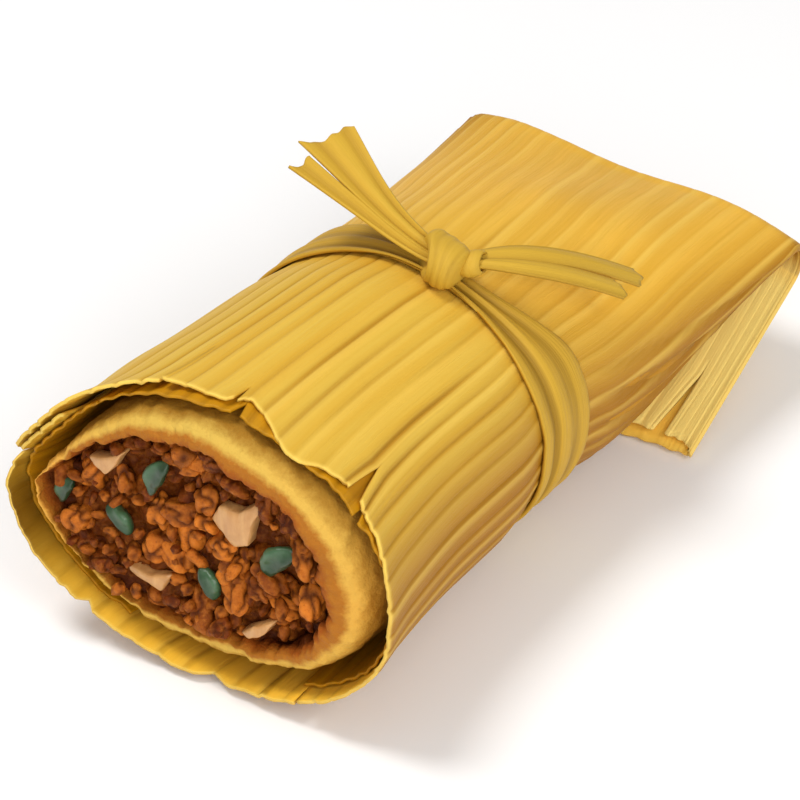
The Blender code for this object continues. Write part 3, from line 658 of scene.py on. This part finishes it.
def log_mesh(name, rings, values):
    """A sphere primitive whose rings are laid along the log, from a closed end inside to one outside."""
    steps = dict(segments=len(rings[0]), ring_count=len(rings) + 1)
    obj = primitive(name, bpy.ops.mesh.primitive_uv_sphere_add, **steps)
    was = points_of(obj) * MM
    latitude = np.arccos(np.clip(was[:, 2], -1, 1)) / np.pi * (len(rings) + 1)
    ring = np.round(latitude).astype(int) - 1
    segment = np.round(np.arctan2(was[:, 1], was[:, 0]) / (2 * np.pi) * len(rings[0])).astype(int) % len(rings[0])
    laid, kept = np.array(rings), {key: np.array(value) for key, value in values.items()}
    first, last = ring < 0, ring >= len(rings)
    inside = np.clip(ring, 0, len(rings) - 1)
    points = laid[inside, segment]
    points[first], points[last] = laid[0].mean(0), laid[-1].mean(0)
    lay(obj, points + np.array(MOUTH))
    paint(obj, **{key: value[inside, segment] for key, value in kept.items()})
    face_outwards(obj)
    obj.data.shade_smooth()
    return obj


def roughen(obj, *lumps, where=1.0):
    """Pushes the surface out and in along its normals: (size of the lumps, height, seed) in millimetres."""
    points = points_of(obj)
    normals = np.empty(len(points) * 3)
    obj.data.vertex_normals.foreach_get("vector", normals)
    push = sum(height * rough(points, size, seed) for size, height, seed in lumps)
    lay(obj, points + normals.reshape(-1, 3) * (push * where)[:, None])
    obj.data.update()


masa_shoulder = MASA_FRONT + RIM_BACK
masa_mouth, masa_wall = fill_ring(MASA_FRONT, 0, 1.0), masa_ring(masa_shoulder)
masa_rings = [fill_ring(y, 0) for y in (FILL_END, 78, 54, 28, 16, 10, 6.5)]
masa_rings += [fill_ring(y, 0, 1.0) for y in (4.5, 3.2, 2.1, 1.2)]
rim = [(0.02, 0.3), (0.04, -0.4), (0.08, -1.0), (0.14, -1.5)]
bows = np.linspace(0, np.pi / 2, 26)
rim += [(0.2 + 0.8 * np.sin(bow) ** 0.85, masa_shoulder - RIM_BACK * np.cos(bow) ** 0.8) for bow in bows]
masa_rings += [blended(masa_mouth, masa_wall, share, y) for share, y in rim]
masa_rings += [masa_ring(y) for y in (8, 10, 13, 18, 24, 32, 40, 48, 55, 62, 70, 80, 90, 99)]
masa_back = smooth_step((-0.2 - np.sin(round_log + 0.3)) / 0.8)
masa_rings += [masa_ring(99 + 7 * share, math.sqrt(1 - share**2)) for share in (0.3, 0.6, 0.8, 0.95)]
for ring in masa_rings:
    ring[:, 1] += 1.6 * masa_back * smooth_step((7 - ring[:, 1]) / 5)
wall = np.linalg.norm((masa_wall - masa_mouth)[:, [0, 2]], axis=1)
across_wall = [np.linalg.norm((ring - masa_mouth)[:, [0, 2]], axis=1) / wall for ring in masa_rings]
stain = curve_at(STAIN, np.degrees(round_log))
across_wall = [share - stain * np.sin(np.pi * np.clip(share, 0, 1)) for share in across_wall]
across_wall[:11], across_wall[-18:] = [0 * wall] * 11, [0 * wall + 1] * 18
browner = [curve_at(BROWNER, np.degrees(round_log))] * len(masa_rings)
masa = log_mesh("masa_dough", masa_rings, {"across_wall": across_wall, "brown": browner})
near_mouth = smooth_step((14 - points_of(masa)[:, 1] + MOUTH.y) / 4)
roughen(masa, (4.5, 0.4, 30), (1.7, 0.28, 31), (0.7, 0.13, 32), where=near_mouth)

dough = Finish("steamed_masa", Specular_IOR_Level=0.12)
crumb = dough.grain(dough.place(1.6), 5, 0.65)
patch = dough.grain(dough.place(0.24))
brown, wall_share = dough.kept("brown"), dough.kept("across_wall")
ragged = wall_share + (patch - 0.5) * 0.34 + (crumb - 0.5) * 0.2
masa_colour = dough.layered(
    dough.mixed(brown + (patch - 0.5) * 0.4, (0.68, 0.45, 0.082), (0.8, 0.4, 0.06)),
    # painted shade, partly browning: the rim darkens where it turns back under the husk
    (ragged.between(0.66, 0.94) * (1 - brown * 0.6), (0.34, 0.155, 0.012)),
    (1 - ragged.between(0.32, 0.52), (0.44, 0.155, 0.015)),
    # deepest sauce stain next to the meat, deepened by painted shade along the meat's edge
    (1 - ragged.between(0.06, 0.2), (0.36, 0.09, 0.008)),
    # painted shade: the walls of the hollow behind the filling near black
    (1 - wall_share.between(0.01, 0.06), (0.14, 0.028, 0.003)),
    (crumb.between(0.55, 0.8) * 0.3, (0.5, 0.23, 0.035)),
)
dough.give(Base_Color=masa_colour, Roughness=crumb * 0.2 + 0.5, Normal=dough.bumped(crumb, 0.35 * MM))
finished(masa, dough, "masa", "masa")

# ---------------------------------------------------------------------------------------------
# Filling. Minced beef cooked down in red chilli sauce: irregular crumbles of meat, three to six
# millimetres across, packed down the middle of the log over a core of smaller mince and sauce.

# How far past the mouth's plane a crumble may stand, and where the core's face lies and how its rings close.
CRUMB_FRONT, CORE_FRONT, CORE_SHARES = 0.9, 3.4, np.linspace(0.99, 0.03, 46)
# Layers of mince, from the back: how many, how near to each other, and how near to the masa.
BACK_LAYER, CRUMBLES, BITS = (60, 4.8, 0.8), (180, 3.35, 1.5), (150, 2.3, 1.1)
CRUMBLE_KINDS, BIT_KINDS = 7, 4


def forward(x, z):
    """How far the meat stands forward low on the left, where the masa's wall is thin."""
    return 1.9 * smooth_step(0.3 - ((x + 2) / 28 + (z - 22) / 20) * 0.7)


core_rings = [fill_ring(y, 0.35) for y in (FILL_END - 0.5, 78, 54, 28, 14)]
core_rings += [fill_ring(y, 0.35, 0.8) for y in (9, 6, 4.4)]
core_shares = np.concatenate([np.full(len(core_rings), 1.0), CORE_SHARES])
core_edge = fill_ring(CORE_FRONT, 0.4, 0.8)
core_middle = core_edge.mean(0)
core_rings += [core_middle + (core_edge - core_middle) * share for share in CORE_SHARES]
# core_cleft: 0 over the core's sides, 0.5 over its face; the core is darkened as painted shade in the gaps between
# crumbles.
core_cleft = np.repeat(0.5 * smooth_step((0.97 - core_shares) / 0.1)[:, None], SIDES, 1)
core = log_mesh("meat_core", core_rings, {"tint": 0.3 * core_cleft, "cleft": core_cleft})
core_points = points_of(core)
core_front = smooth_step((6 - core_points[:, 1] + MOUTH.y) / 2)
core_points[:, 1] -= core_front * forward(core_points[:, 0] - MOUTH.x, core_points[:, 2] - MOUTH.z)
lay(core, core_points)
roughen(core, (2.6, 1.0, 40), (1.3, 0.7, 41), (0.6, 0.3, 42), where=core_front)


def crumble_kind(number, detail):
    """One crumble of cooked mince, about 2 across: rounded lumps parted by sharp clefts."""
    obj = primitive("crumble", bpy.ops.mesh.primitive_ico_sphere_add, subdivisions=detail)
    mesh = obj.data
    points = points_of(obj) * MM
    clefts = np.abs(rough(points, 1.0, 50 + number))
    lumps = clefts**0.6 * 0.6 + rough(points * (0.6, 1, 1), 0.5, 60 + number) * 0.16
    lumps = lumps + rough(points, 0.2, 65 + number) * 0.05
    warp = 1 + 0.45 * rough(points, 1.5, 70 + number)
    points = points * ((0.74 + lumps) * warp)[:, None] * (1.4, 0.82, 0.85)
    faces = np.array([tuple(p.vertices) for p in mesh.polygons])
    bpy.data.objects.remove(obj)
    bpy.data.meshes.remove(mesh)
    # The third part darkens the clefts as painted shade: 0 in a cleft, 1 clear of it.
    return points, faces, np.clip(clefts * 4, 0, 1)


def scattered(name, kinds, places):
    """Copies of the kinds, each turned and sized, joined as one piece: (kind, middle, size, turn, tint)."""
    points, faces, tints, clefts, count = [], [], [], [], 0
    for kind, middle, size, turn, tint in places:
        shape, sides, cleft = kinds[kind]
        points.append((shape * size) @ np.array(turn).T + np.array(middle))
        faces.append(sides + count)
        tints.append(np.full(len(shape), tint))
        clefts.append(cleft)
        count += len(shape)
    mesh = bpy.data.meshes.new(name)
    mesh.from_pydata((np.concatenate(points) + np.array(MOUTH)) * MM, [], np.concatenate(faces))
    mesh.shade_smooth()
    obj = bpy.data.objects.new(name, mesh)
    bpy.context.scene.collection.objects.link(obj)
    paint(obj, tint=np.concatenate(tints), cleft=np.concatenate(clefts))
    return obj


def any_turn():
    x, y, z = (Matrix.Rotation(chance.uniform(0, 2 * np.pi), 3, axis) for axis in "XYZ")
    return x @ y @ z


face_edge = fill_ring(FILL_FRONT, 0.2)[:, [0, 2]]
face_middle = face_edge.mean(0)
face_edge = face_edge - face_middle
face_headings = np.arctan2(face_edge[:, 1], face_edge[:, 0])
face_order = face_headings.argsort()
face_headings, face_reach = face_headings[face_order], np.linalg.norm(face_edge, axis=1)[face_order]


def in_face(x, z, margin):
    """Whether a point lies in the cut face of the filling, at least `margin` from the masa."""
    away = np.array([x, z]) - face_middle
    return np.linalg.norm(away) < np.interp(np.arctan2(away[1], away[0]), face_headings, face_reach) - margin


def spread_over_face(count, apart, margin, tries=6000):
    """Points over the cut face, no two nearer than `apart`."""
    found = []
    for _ in range(tries):
        x, z = chance.uniform(-30, 26), chance.uniform(4, 42)
        if in_face(x, z, margin) and all((x - a) ** 2 + (z - b) ** 2 > apart**2 for a, b in found):
            found.append((x, z))
            if len(found) == count:
                break
    return found


# Chopped pieces in the face, which the meat leaves room for: x, z, and their reach.
FACE_PIECES = [
    (-16.5, 32.2, 2.6), (6.3, 30.3, 4.4), (-9.4, 14.4, 4.0), (9.2, 13, 2.6), (-8.4, 32.8, 3.7),
    (-14.9, 22.8, 3.0), (-25.1, 24, 3.3), (12.2, 26.4, 3.2), (0.8, 17.6, 2.6),
]


def clear_of_pieces(x, z, radius):
    return all((x - a) ** 2 + (z - b) ** 2 > (reach + radius * 0.5) ** 2 for a, b, reach in FACE_PIECES)


crumbles = [crumble_kind(number, 4) for number in range(CRUMBLE_KINDS)]
meat = []
for x, z in spread_over_face(*BACK_LAYER):
    kind, at = int(chance.integers(CRUMBLE_KINDS)), (x, 5.0 - forward(x, z), z)
    # The back layer is tinted dark as painted shade behind the front crumbles.
    meat.append((kind, at, chance.uniform(2.4, 3.0), any_turn(), chance.uniform(0, 0.3)))
for x, z in spread_over_face(*CRUMBLES):
    inner = in_face(x, z, 2.6)
    size = chance.uniform(1.9, 2.8) * (1 if inner else 0.75)
    if clear_of_pieces(x, z, size):
        kind = int(chance.integers(CRUMBLE_KINDS))
        y = max(chance.uniform(0.9, 3.2) - forward(x, z), 0.42 * size - CRUMB_FRONT)
        # Crumbles near the masa are painted darker as the shade along the filling's edge; the rest differ in tone at
        # random.
        meat.append((kind, (x, y, z), size, any_turn(), (1.0 if inner else 0.15) * chance.uniform(0.2, 1)))
meat_piece = scattered("meat_crumbles", crumbles, meat)
small_kinds = [crumble_kind(20 + number, 2) for number in range(BIT_KINDS)]
bits = []
for x, z in spread_over_face(*BITS):
    size = chance.uniform(0.7, 1.3)
    if clear_of_pieces(x, z, 0):
        kind, at = int(chance.integers(BIT_KINDS)), (x, chance.uniform(0.6, 2.6) - forward(x, z), z)
        bits.append((kind, at, size, any_turn(), chance.uniform(0, 0.6)))
bits_piece = scattered("meat_bits", small_kinds, bits)

mince = Finish("chilli_mince", Specular_IOR_Level=0.12)
fine = mince.grain(mince.place(1.1), 5, 0.65)
blot = mince.grain(mince.place(0.3))
# tint: random tone of each crumble with blots, and painted shade on the core, the back layer and the filling's edge.
tint = mince.kept("tint") * 0.7 + blot * 0.5
meat_colour = mince.layered(
    mince.mixed(tint.between(0.25, 0.85), (0.15, 0.027, 0.002), (0.66, 0.185, 0.018)),
    (fine.between(0.48, 0.72) * 0.4, (0.72, 0.25, 0.035)),
    ((1 - fine.between(0.3, 0.46)) * 0.6, (0.12, 0.02, 0.002)),
    # painted shade in the crumbles' clefts and over the core
    ((1 - mince.kept("cleft")) * 0.95, (0.07, 0.012, 0.001)),
)
mince.give(Base_Color=meat_colour, Roughness=fine * 0.25 + 0.35, Normal=mince.bumped(fine, 0.32 * MM))
for obj in (core, meat_piece, bits_piece):
    finished(obj, mince, "filling", "filling")

# ---------------------------------------------------------------------------------------------
# Onion. Chopped pieces of cooked onion, each a bit of one curved layer: pale tan from the sauce,
# wet and slightly see-through. They are pressed into the cut face.

ONIONS = [
    ("onion_1", [(-19.6, 32.3), (-16.4, 33.3), (-13.4, 35.0), (-15.3, 31.6), (-16.8, 29.9), (-18.2, 30.8)], 2.2),
    (
        "onion_2",
        [(1.4, 29.3), (3.0, 32.2), (6.5, 32.5), (11.1, 35.8), (9.0, 32.0), (7.9, 27.2), (5.3, 25.7), (3.9, 27.9)],
        2.4,
    ),
    ("onion_3", [(-13.6, 15.8), (-10, 15.2), (-6.0, 16.2), (-7.8, 12.9), (-10.0, 13.6), (-13.3, 14.5)], 2.0),
    ("onion_4", [(6.1, 11.4), (8.4, 13.4), (12.2, 15.6), (10.6, 12.8), (7.6, 10.7)], 2.0),
]


def onion_piece(name, corners, depth):
    """An outline filled, pushed back to its thickness, its edges rounded and its face bowed."""
    obj = primitive(name, bpy.ops.mesh.primitive_circle_add, vertices=len(corners), fill_type="NGON")
    for vertex, (x, z) in zip(obj.data.vertices, corners):
        vertex.co = ((x + MOUTH.x) * MM, (MOUTH.y - 0.3) * MM, (z + MOUTH.z) * MM)
    mode("EDIT")
    bpy.ops.mesh.select_all(action="SELECT")
    bpy.ops.mesh.extrude_region_move(TRANSFORM_OT_translate={"value": (0, depth * MM, 0)})
    bpy.ops.mesh.select_all(action="SELECT")
    bpy.ops.mesh.normals_make_consistent(inside=False)
    bpy.ops.mesh.bevel(offset=0.35 * MM, segments=2, affect="EDGES")
    bpy.ops.mesh.select_all(action="SELECT")
    bpy.ops.mesh.quads_convert_to_tris()
    bpy.ops.mesh.subdivide(number_cuts=4, smoothness=0.1)
    mode("OBJECT")
    obj.data.shade_smooth()
    points = points_of(obj)
    middle = points.mean(0)
    points[:, 1] += 0.035 * ((points[:, 0] - middle[0]) ** 2 + (points[:, 2] - middle[2]) ** 2) - 0.25
    lay(obj, points)
    roughen(obj, (2.2, 0.22, 80), (0.9, 0.08, 81))
    return obj


onion = Finish("cooked_onion", Coat_Weight=0.2, Coat_Roughness=0.25)
layer = onion.grain(onion.place(1.1, 0.3, 0.25))
wash = onion.grain(onion.place(0.35))
onion_colour = onion.mixed(layer.between(0.35, 0.7), (0.56, 0.27, 0.085), (0.66, 0.36, 0.13))
onion_colour = onion.mixed(wash.between(0.5, 0.75) * 0.6, onion_colour, (0.42, 0.18, 0.045))
onion.give(Base_Color=onion_colour, Roughness=layer * 0.2 + 0.28, Normal=onion.bumped(layer, 0.15 * MM))
for name, corners, depth in ONIONS:
    finished(onion_piece(name + "_piece", corners, depth), onion, "onion", name)

# ---------------------------------------------------------------------------------------------
# Green pepper. Cooked scraps of green pepper with their glossy skin, bent and blunt at the ends.

# Name, x, z, degrees, length and width.
PEPPERS = [
    ("pepper_1", -8.4, 32.8, 62, 7.4, 3.2), ("pepper_2", -14.9, 22.8, -42, 5.4, 2.9),
    ("pepper_3", -25.1, 24.2, 62, 5.4, 2.6), ("pepper_4", 12.2, 26.3, 46, 8.2, 3.7),
    ("pepper_5", 0.9, 17.6, -62, 5.2, 3.0),
]


def pepper_piece(name, x, z, degrees, length, width):
    obj = primitive(name, bpy.ops.mesh.primitive_ico_sphere_add, subdivisions=5)
    points = points_of(obj) * MM
    bend = 0.22 * points[:, 0] ** 2 * width
    blunt = 1 - 0.25 * np.abs(points[:, 0]) ** 3
    shape = np.stack([points[:, 0] * length / 2, points[:, 1] * 1.15, points[:, 2] * width / 2 * blunt - bend], -1)
    shape[:, 1] += 0.25 * np.cos(shape[:, 2] * 2.2)
    turn = np.array(Matrix.Rotation(math.radians(-degrees), 3, "Y"))
    shape = shape @ turn.T + (x + MOUTH.x, MOUTH.y + 0.55, z + MOUTH.z)
    lay(obj, shape)
    obj.data.shade_smooth()
    roughen(obj, (2.0, 0.25, 90), (0.8, 0.06, 91))
    # skin: across each scrap, low on its shaded long edge and high on its lit one
    paint(obj, skin=points[:, 2])
    return obj


pepper = Finish("green_pepper", Coat_Weight=0.12, Coat_Roughness=0.3)
mottle = pepper.grain(pepper.place(0.7), 4)
skin = pepper.kept("skin") + (mottle - 0.5) * 0.8
# Painted light: one long edge of each scrap lighter, the other darker.
pepper_colour = pepper.mixed(skin.between(-0.4, 0.7), (0.02, 0.05, 0.018), (0.055, 0.13, 0.055))
pepper.give(Base_Color=pepper_colour, Roughness=mottle * 0.15 + 0.28)
pepper.give(Normal=pepper.bumped(mottle, 0.12 * MM))
for name, *facts in PEPPERS:
    finished(pepper_piece(name + "_scrap", *facts), pepper, "pepper", name)

# ---------------------------------------------------------------------------------------------
# Tie. One torn strip of husk, 13 mm wide, goes round the parcel over the leaf, is gathered and
# knotted on top, and its two free ends spread and split along their fibres.

TIE_Y, KNOT_ANGLE, KNOT_SHIFT, TIE_SLANT = 54.6, math.radians(72), -3.3, 0.9
TIE_SPREAD, TIE_GATHERED, TIE_THICKNESS, END_THICKNESS = 6.6, 2.3, 0.6, 0.5
TIE_OUT = WALL + HUSK_THICKNESS + 0.3
KNOT_REACH, KNOT_LENGTH = 3.8, 3.8


def away_from_knot(angle):
    off = np.abs((angle - KNOT_ANGLE + np.pi) % (2 * np.pi) - np.pi)
    right = np.cos(angle) > math.cos(KNOT_ANGLE)
    return smooth_step((off - math.radians(6)) / np.where(right, math.radians(44), math.radians(62)))


def tie_outset(angle):
    turned = (angle - LEAF_START) % (2 * np.pi)
    lap_end = smooth_step((math.radians(42) - turned) / math.radians(14))
    return TIE_OUT + np.maximum(lap_lift(turned), (WALL + 0.3) * lap_end)


def band_surface(along, across, side):
    """The strip round the parcel: along it by angle, across it from -1 to 1."""
    angle = np.radians(along)
    spread = away_from_knot(angle)
    half = TIE_GATHERED + (TIE_SPREAD - TIE_GATHERED) * spread
    half = half + 0.25 * rough(on_leaf(along / 9, across), 1, 100) * spread
    y = TIE_Y + KNOT_SHIFT * (1 - spread) - TIE_SLANT * np.cos(angle) + half * across
    pleat = 0.3 * np.cos(across * 7.3 + 0.6 + 0.5 * rough(on_leaf(along / 30, 0 * across), 1, 101))
    pleat += 0.14 * rough(on_leaf(along / 40, across * 6), 1, 102)
    pleat += 0.07 * rough(on_leaf(along / 25, across * 16), 1, 103)
    pleat -= 0.55 * bell(across + 0.4, 0.09) * smooth_step(np.cos(angle) * 2)
    edge = 0.35 * np.abs(across) ** 6
    outset = tie_outset(angle) + 0.55 + pleat * (1.5 - 0.7 * spread) - edge + 0.5 * (1 - spread)
    points = wrapped(y, angle, outset)
    points[:, 2] = np.maximum(points[:, 2], ON_FLOOR)
    dip = np.clip(-pleat / 0.35, 0, 1)
    # shaded_groove: painted shade in the pleat dips and over the band gathered by the knot
    return points, {"along": along * 0.5, "around": across * 6.6, "shaded_groove": dip * 0.9 + 0.3 * (1 - spread)}


tie_colours = (0.61, 0.36, 0.033), (0.61, 0.36, 0.033), (0.48, 0.27, 0.021), (0.22, 0.11, 0.0066), (0.66, 0.43, 0.075)
tie_finish = husk_finish("tie_husk", *tie_colours, 0.55)
band = laid_sheet("tie_band", np.linspace(72, 432, 281), np.linspace(-1, 1, 45), band_surface, flip=False)
apply_modifier(band, "SOLIDIFY", thickness=TIE_THICKNESS * MM, offset=-1)
finished(band, tie_finish, "tie", "tie")

knot_at = np.array([KNOT_ANGLE])
knot_y = TIE_Y + KNOT_SHIFT - TIE_SLANT * math.cos(KNOT_ANGLE)
knot_middle = wrapped(knot_y, knot_at, tie_outset(knot_at) + 0.8)[0] + (0, 0, 2.5)
knot_lean, knot_side = Vector((1, 0, -0.25)).normalized(), Vector((0, 1, 0))
knot_up = knot_lean.cross(knot_side)


def knot_surface(along, across, side):
    """The wrap of the knot: round it by degrees, across it from end to end."""
    angle = np.radians(along)
    swell = curve_at([(-1, 0.4), (-0.93, 0.8), (-0.7, 0.98), (0, 1.0), (0.5, 0.93), (0.86, 0.78), (1, 0.4)], across)
    pleat = 0.05 * np.cos(across * 12 + 0.8 + 0.4 * np.sin(angle))
    pleat = pleat + 0.05 * rough(on_leaf(along / 60, across * 6), 1, 110)
    nearer = np.clip(-np.cos(angle), 0, 1) ** 1.5
    reach = KNOT_REACH * swell * (1 + 0.3 * nearer + 0.03 * np.cos(3 * angle + 2 * across)) + pleat
    out = np.outer(np.cos(angle), np.array(knot_side)) + np.outer(np.sin(angle) * 0.92, np.array(knot_up))
    length = (KNOT_LENGTH * (1 - 0.45 * nearer)) * across - 0.8 + 1.5 * nearer
    points = knot_middle + np.outer(length, np.array(knot_lean)) + out * reach[:, None]
    # shaded_groove: painted shade in the knot's pleat dips
    return points, {"along": along * 0.07, "around": across * 5, "shaded_groove": np.clip(-pleat / 0.12, 0, 1) * 0.6}


knot = laid_sheet("tie_knot", np.linspace(0, 360, 97), np.linspace(-1, 1, 41), knot_surface)
only(knot)
mode("EDIT")
bpy.ops.mesh.select_all(action="SELECT")
bpy.ops.mesh.region_to_loop()
bpy.ops.mesh.fill_holes(sides=0)
mode("OBJECT")
face_outwards(knot)
knot_colours = (0.62, 0.38, 0.04), (0.62, 0.38, 0.04), (0.51, 0.30, 0.023), (0.27, 0.13, 0.0078), (0.70, 0.47, 0.078)
knot_finish = husk_finish("knot_husk", *knot_colours, 0.55)
finished(knot, knot_finish, "tie", "tie")


def tail(name, route, widths, side_start, side_end, slant, splits, folds, fold_height):
    """A free end along a smooth route, widening to its torn and split end."""
    a, b, c, d = (np.array(p, float) + knot_middle for p in route)

    def surface(along, across, side):
        t = along[:, None]
        at = a * (1 - t) ** 3 + 3 * b * t * (1 - t) ** 2 + 3 * c * t * t * (1 - t) + d * t**3
        heading = 3 * ((b - a) * (1 - t) ** 2 + 2 * (c - b) * t * (1 - t) + (d - c) * t * t)
        heading /= np.linalg.norm(heading, axis=1)[:, None]
        way = np.array(side_start) * (1 - t) + np.array(side_end) * t
        way = way - heading * (way * heading).sum(1)[:, None]
        way /= np.linalg.norm(way, axis=1)[:, None]
        up = np.cross(way, heading)
        half = curve_at([(0, widths[0]), (0.45, widths[1]), (1, widths[2])], along)
        pleat = fold_height * np.cos(across * folds + 3.1) + 0.1 * rough(on_leaf(along * 2, across * 5), 1, 120)
        shift = np.zeros_like(across)
        reach = torn_by(across * 4, (1.1, 1.5, 121))
        for split, deep, gap, longer in splits:
            distance = (across - split) * 4
            hand = hand_of(distance, side)
            shift += hand * opening_at(1 - (1 - along) / deep, gap, distance)
            reach += np.where(hand < 0, longer, 0)
        end = (reach + slant * across) * along**3
        points = at + way * (half * across + shift)[:, None] + heading * end[:, None] + up * pleat[:, None]
        # shaded_groove: painted shade in the end's fold dips
        return points, {"along": along * 28, "around": across * 4, "shaded_groove": np.clip(-pleat / 0.6, 0, 1)}

    columns = with_tears(np.linspace(-1, 1, 41), [split for split, *_ in splits])
    obj = laid_sheet(name, np.linspace(0, 1, 61), columns, surface)
    apply_modifier(obj, "SOLIDIFY", thickness=END_THICKNESS * MM, offset=0)
    return finished(obj, knot_finish, "tie", "tie")


def knot_turn_surface(along, across, side):
    """The short second turn of the knot, round the root of the right end."""
    angle = np.radians(along)
    reach = 1.65 + 0.2 * np.cos(angle + 0.8) - 0.45 * np.abs(across) ** 3
    reach = reach + 0.05 * rough(on_leaf(along / 50, across * 4), 1, 130)
    out = np.outer(np.cos(angle), turn_side) * 1.25 + np.outer(np.sin(angle), turn_over)
    points = turn_middle + np.outer(across * 1.5 + 0.5 * np.cos(angle), turn_heading) + out * reach[:, None]
    # shaded_groove: painted shade towards the turn's edges, where it tucks round the end
    return points, {"along": along * 0.05, "around": across * 2, "shaded_groove": 0.25 * np.abs(across) ** 4}


turn_middle = knot_middle + (3.5, 1.3, 0.1)
turn_heading = np.array((0.86, 0.46, 0.2))
turn_heading /= np.linalg.norm(turn_heading)
turn_side = np.cross((0, 0, 1), turn_heading)
turn_side /= np.linalg.norm(turn_side)
turn_over = np.cross(turn_heading, turn_side)
turn = laid_sheet("tie_knot_turn", np.linspace(0, 360, 65), np.linspace(-1, 1, 17), knot_turn_surface)
apply_modifier(turn, "SOLIDIFY", thickness=END_THICKNESS * MM, offset=0)
finished(turn, knot_finish, "tie", "tie")

left_route = [(0, 0, 0), (-9, 0, 1.4), (-16, 1, 6.8), (-25, 2, 12)]
right_route = [(0, 0, 0), (8, 4, 2), (13, 11.5, -1.6), (17.5, 20, -7.6)]
left_sides, right_sides = [(0, 1, 0.2), (0.2, 1, 0.35)], [(0.4, -1, 0), (0.9, -0.6, -0.35)]
left_split, right_split = (-0.4, 0.38, 0.3, -2.8), (0.0, 0.4, 0.8, 6.0)
tail("tie_left_end", left_route, (1.6, 3.0, 6.1), *left_sides, -2, [left_split], 8.5, 0.35)
tail("tie_right_end", right_route, (1.3, 3.3, 4), *right_sides, 0, [right_split], 6.3, 0.22)

# ---------------------------------------------------------------------------------------------
# The table, the light and the camera.

floor = primitive("floor", bpy.ops.mesh.primitive_plane_add, size=6)
floor_finish = Finish("pale_floor", Roughness=0.7, Base_Color=(0.97, 0.97, 0.98, 1))
floor.data.materials.append(floor_finish.material)

scene = bpy.context.scene
scene.view_settings.view_transform = "Standard"
world = bpy.data.worlds.new("studio")
world.use_nodes = True
world.node_tree.nodes["Background"].inputs["Color"].default_value = (1, 1, 1, 1)
world.node_tree.nodes["Background"].inputs["Strength"].default_value = 0.42
scene.world = world


def aimed(at, target):
    return Matrix.Translation(at) @ (target - at).to_track_quat("-Z", "Y").to_matrix().to_4x4()


def softbox(name, at, size, power):
    light = bpy.data.lights.new(name, "AREA")
    light.shape, light.size, light.energy, light.color = "DISK", size, power, (1, 0.985, 0.96)
    obj = bpy.data.objects.new(name, light)
    scene.collection.objects.link(obj)
    obj.matrix_world = aimed(Vector(at), Vector((0, 0, 0.02)))


softbox("key", (-0.3, -0.16, 0.84), 0.35, 4.2)
softbox("fill", (0.45, -0.72, 0.4), 0.5, 2.6)
softbox("side", (0.7, -0.3, 0.6), 0.5, 2.9)

camera = bpy.data.objects.new("camera", bpy.data.cameras.new("camera"))
camera.data.lens, camera.data.sensor_width, camera.data.clip_start = 155.4, 36, 0.01
scene.collection.objects.link(camera)
stand = (Vector((238.03, -315.27, 313.58)) + MOUTH) * MM
target = (Vector((-2.83, 55.51, 16.66)) + MOUTH) * MM
camera.matrix_world = aimed(stand, target)
scene.camera = camera

bpy.context.view_layer.update()
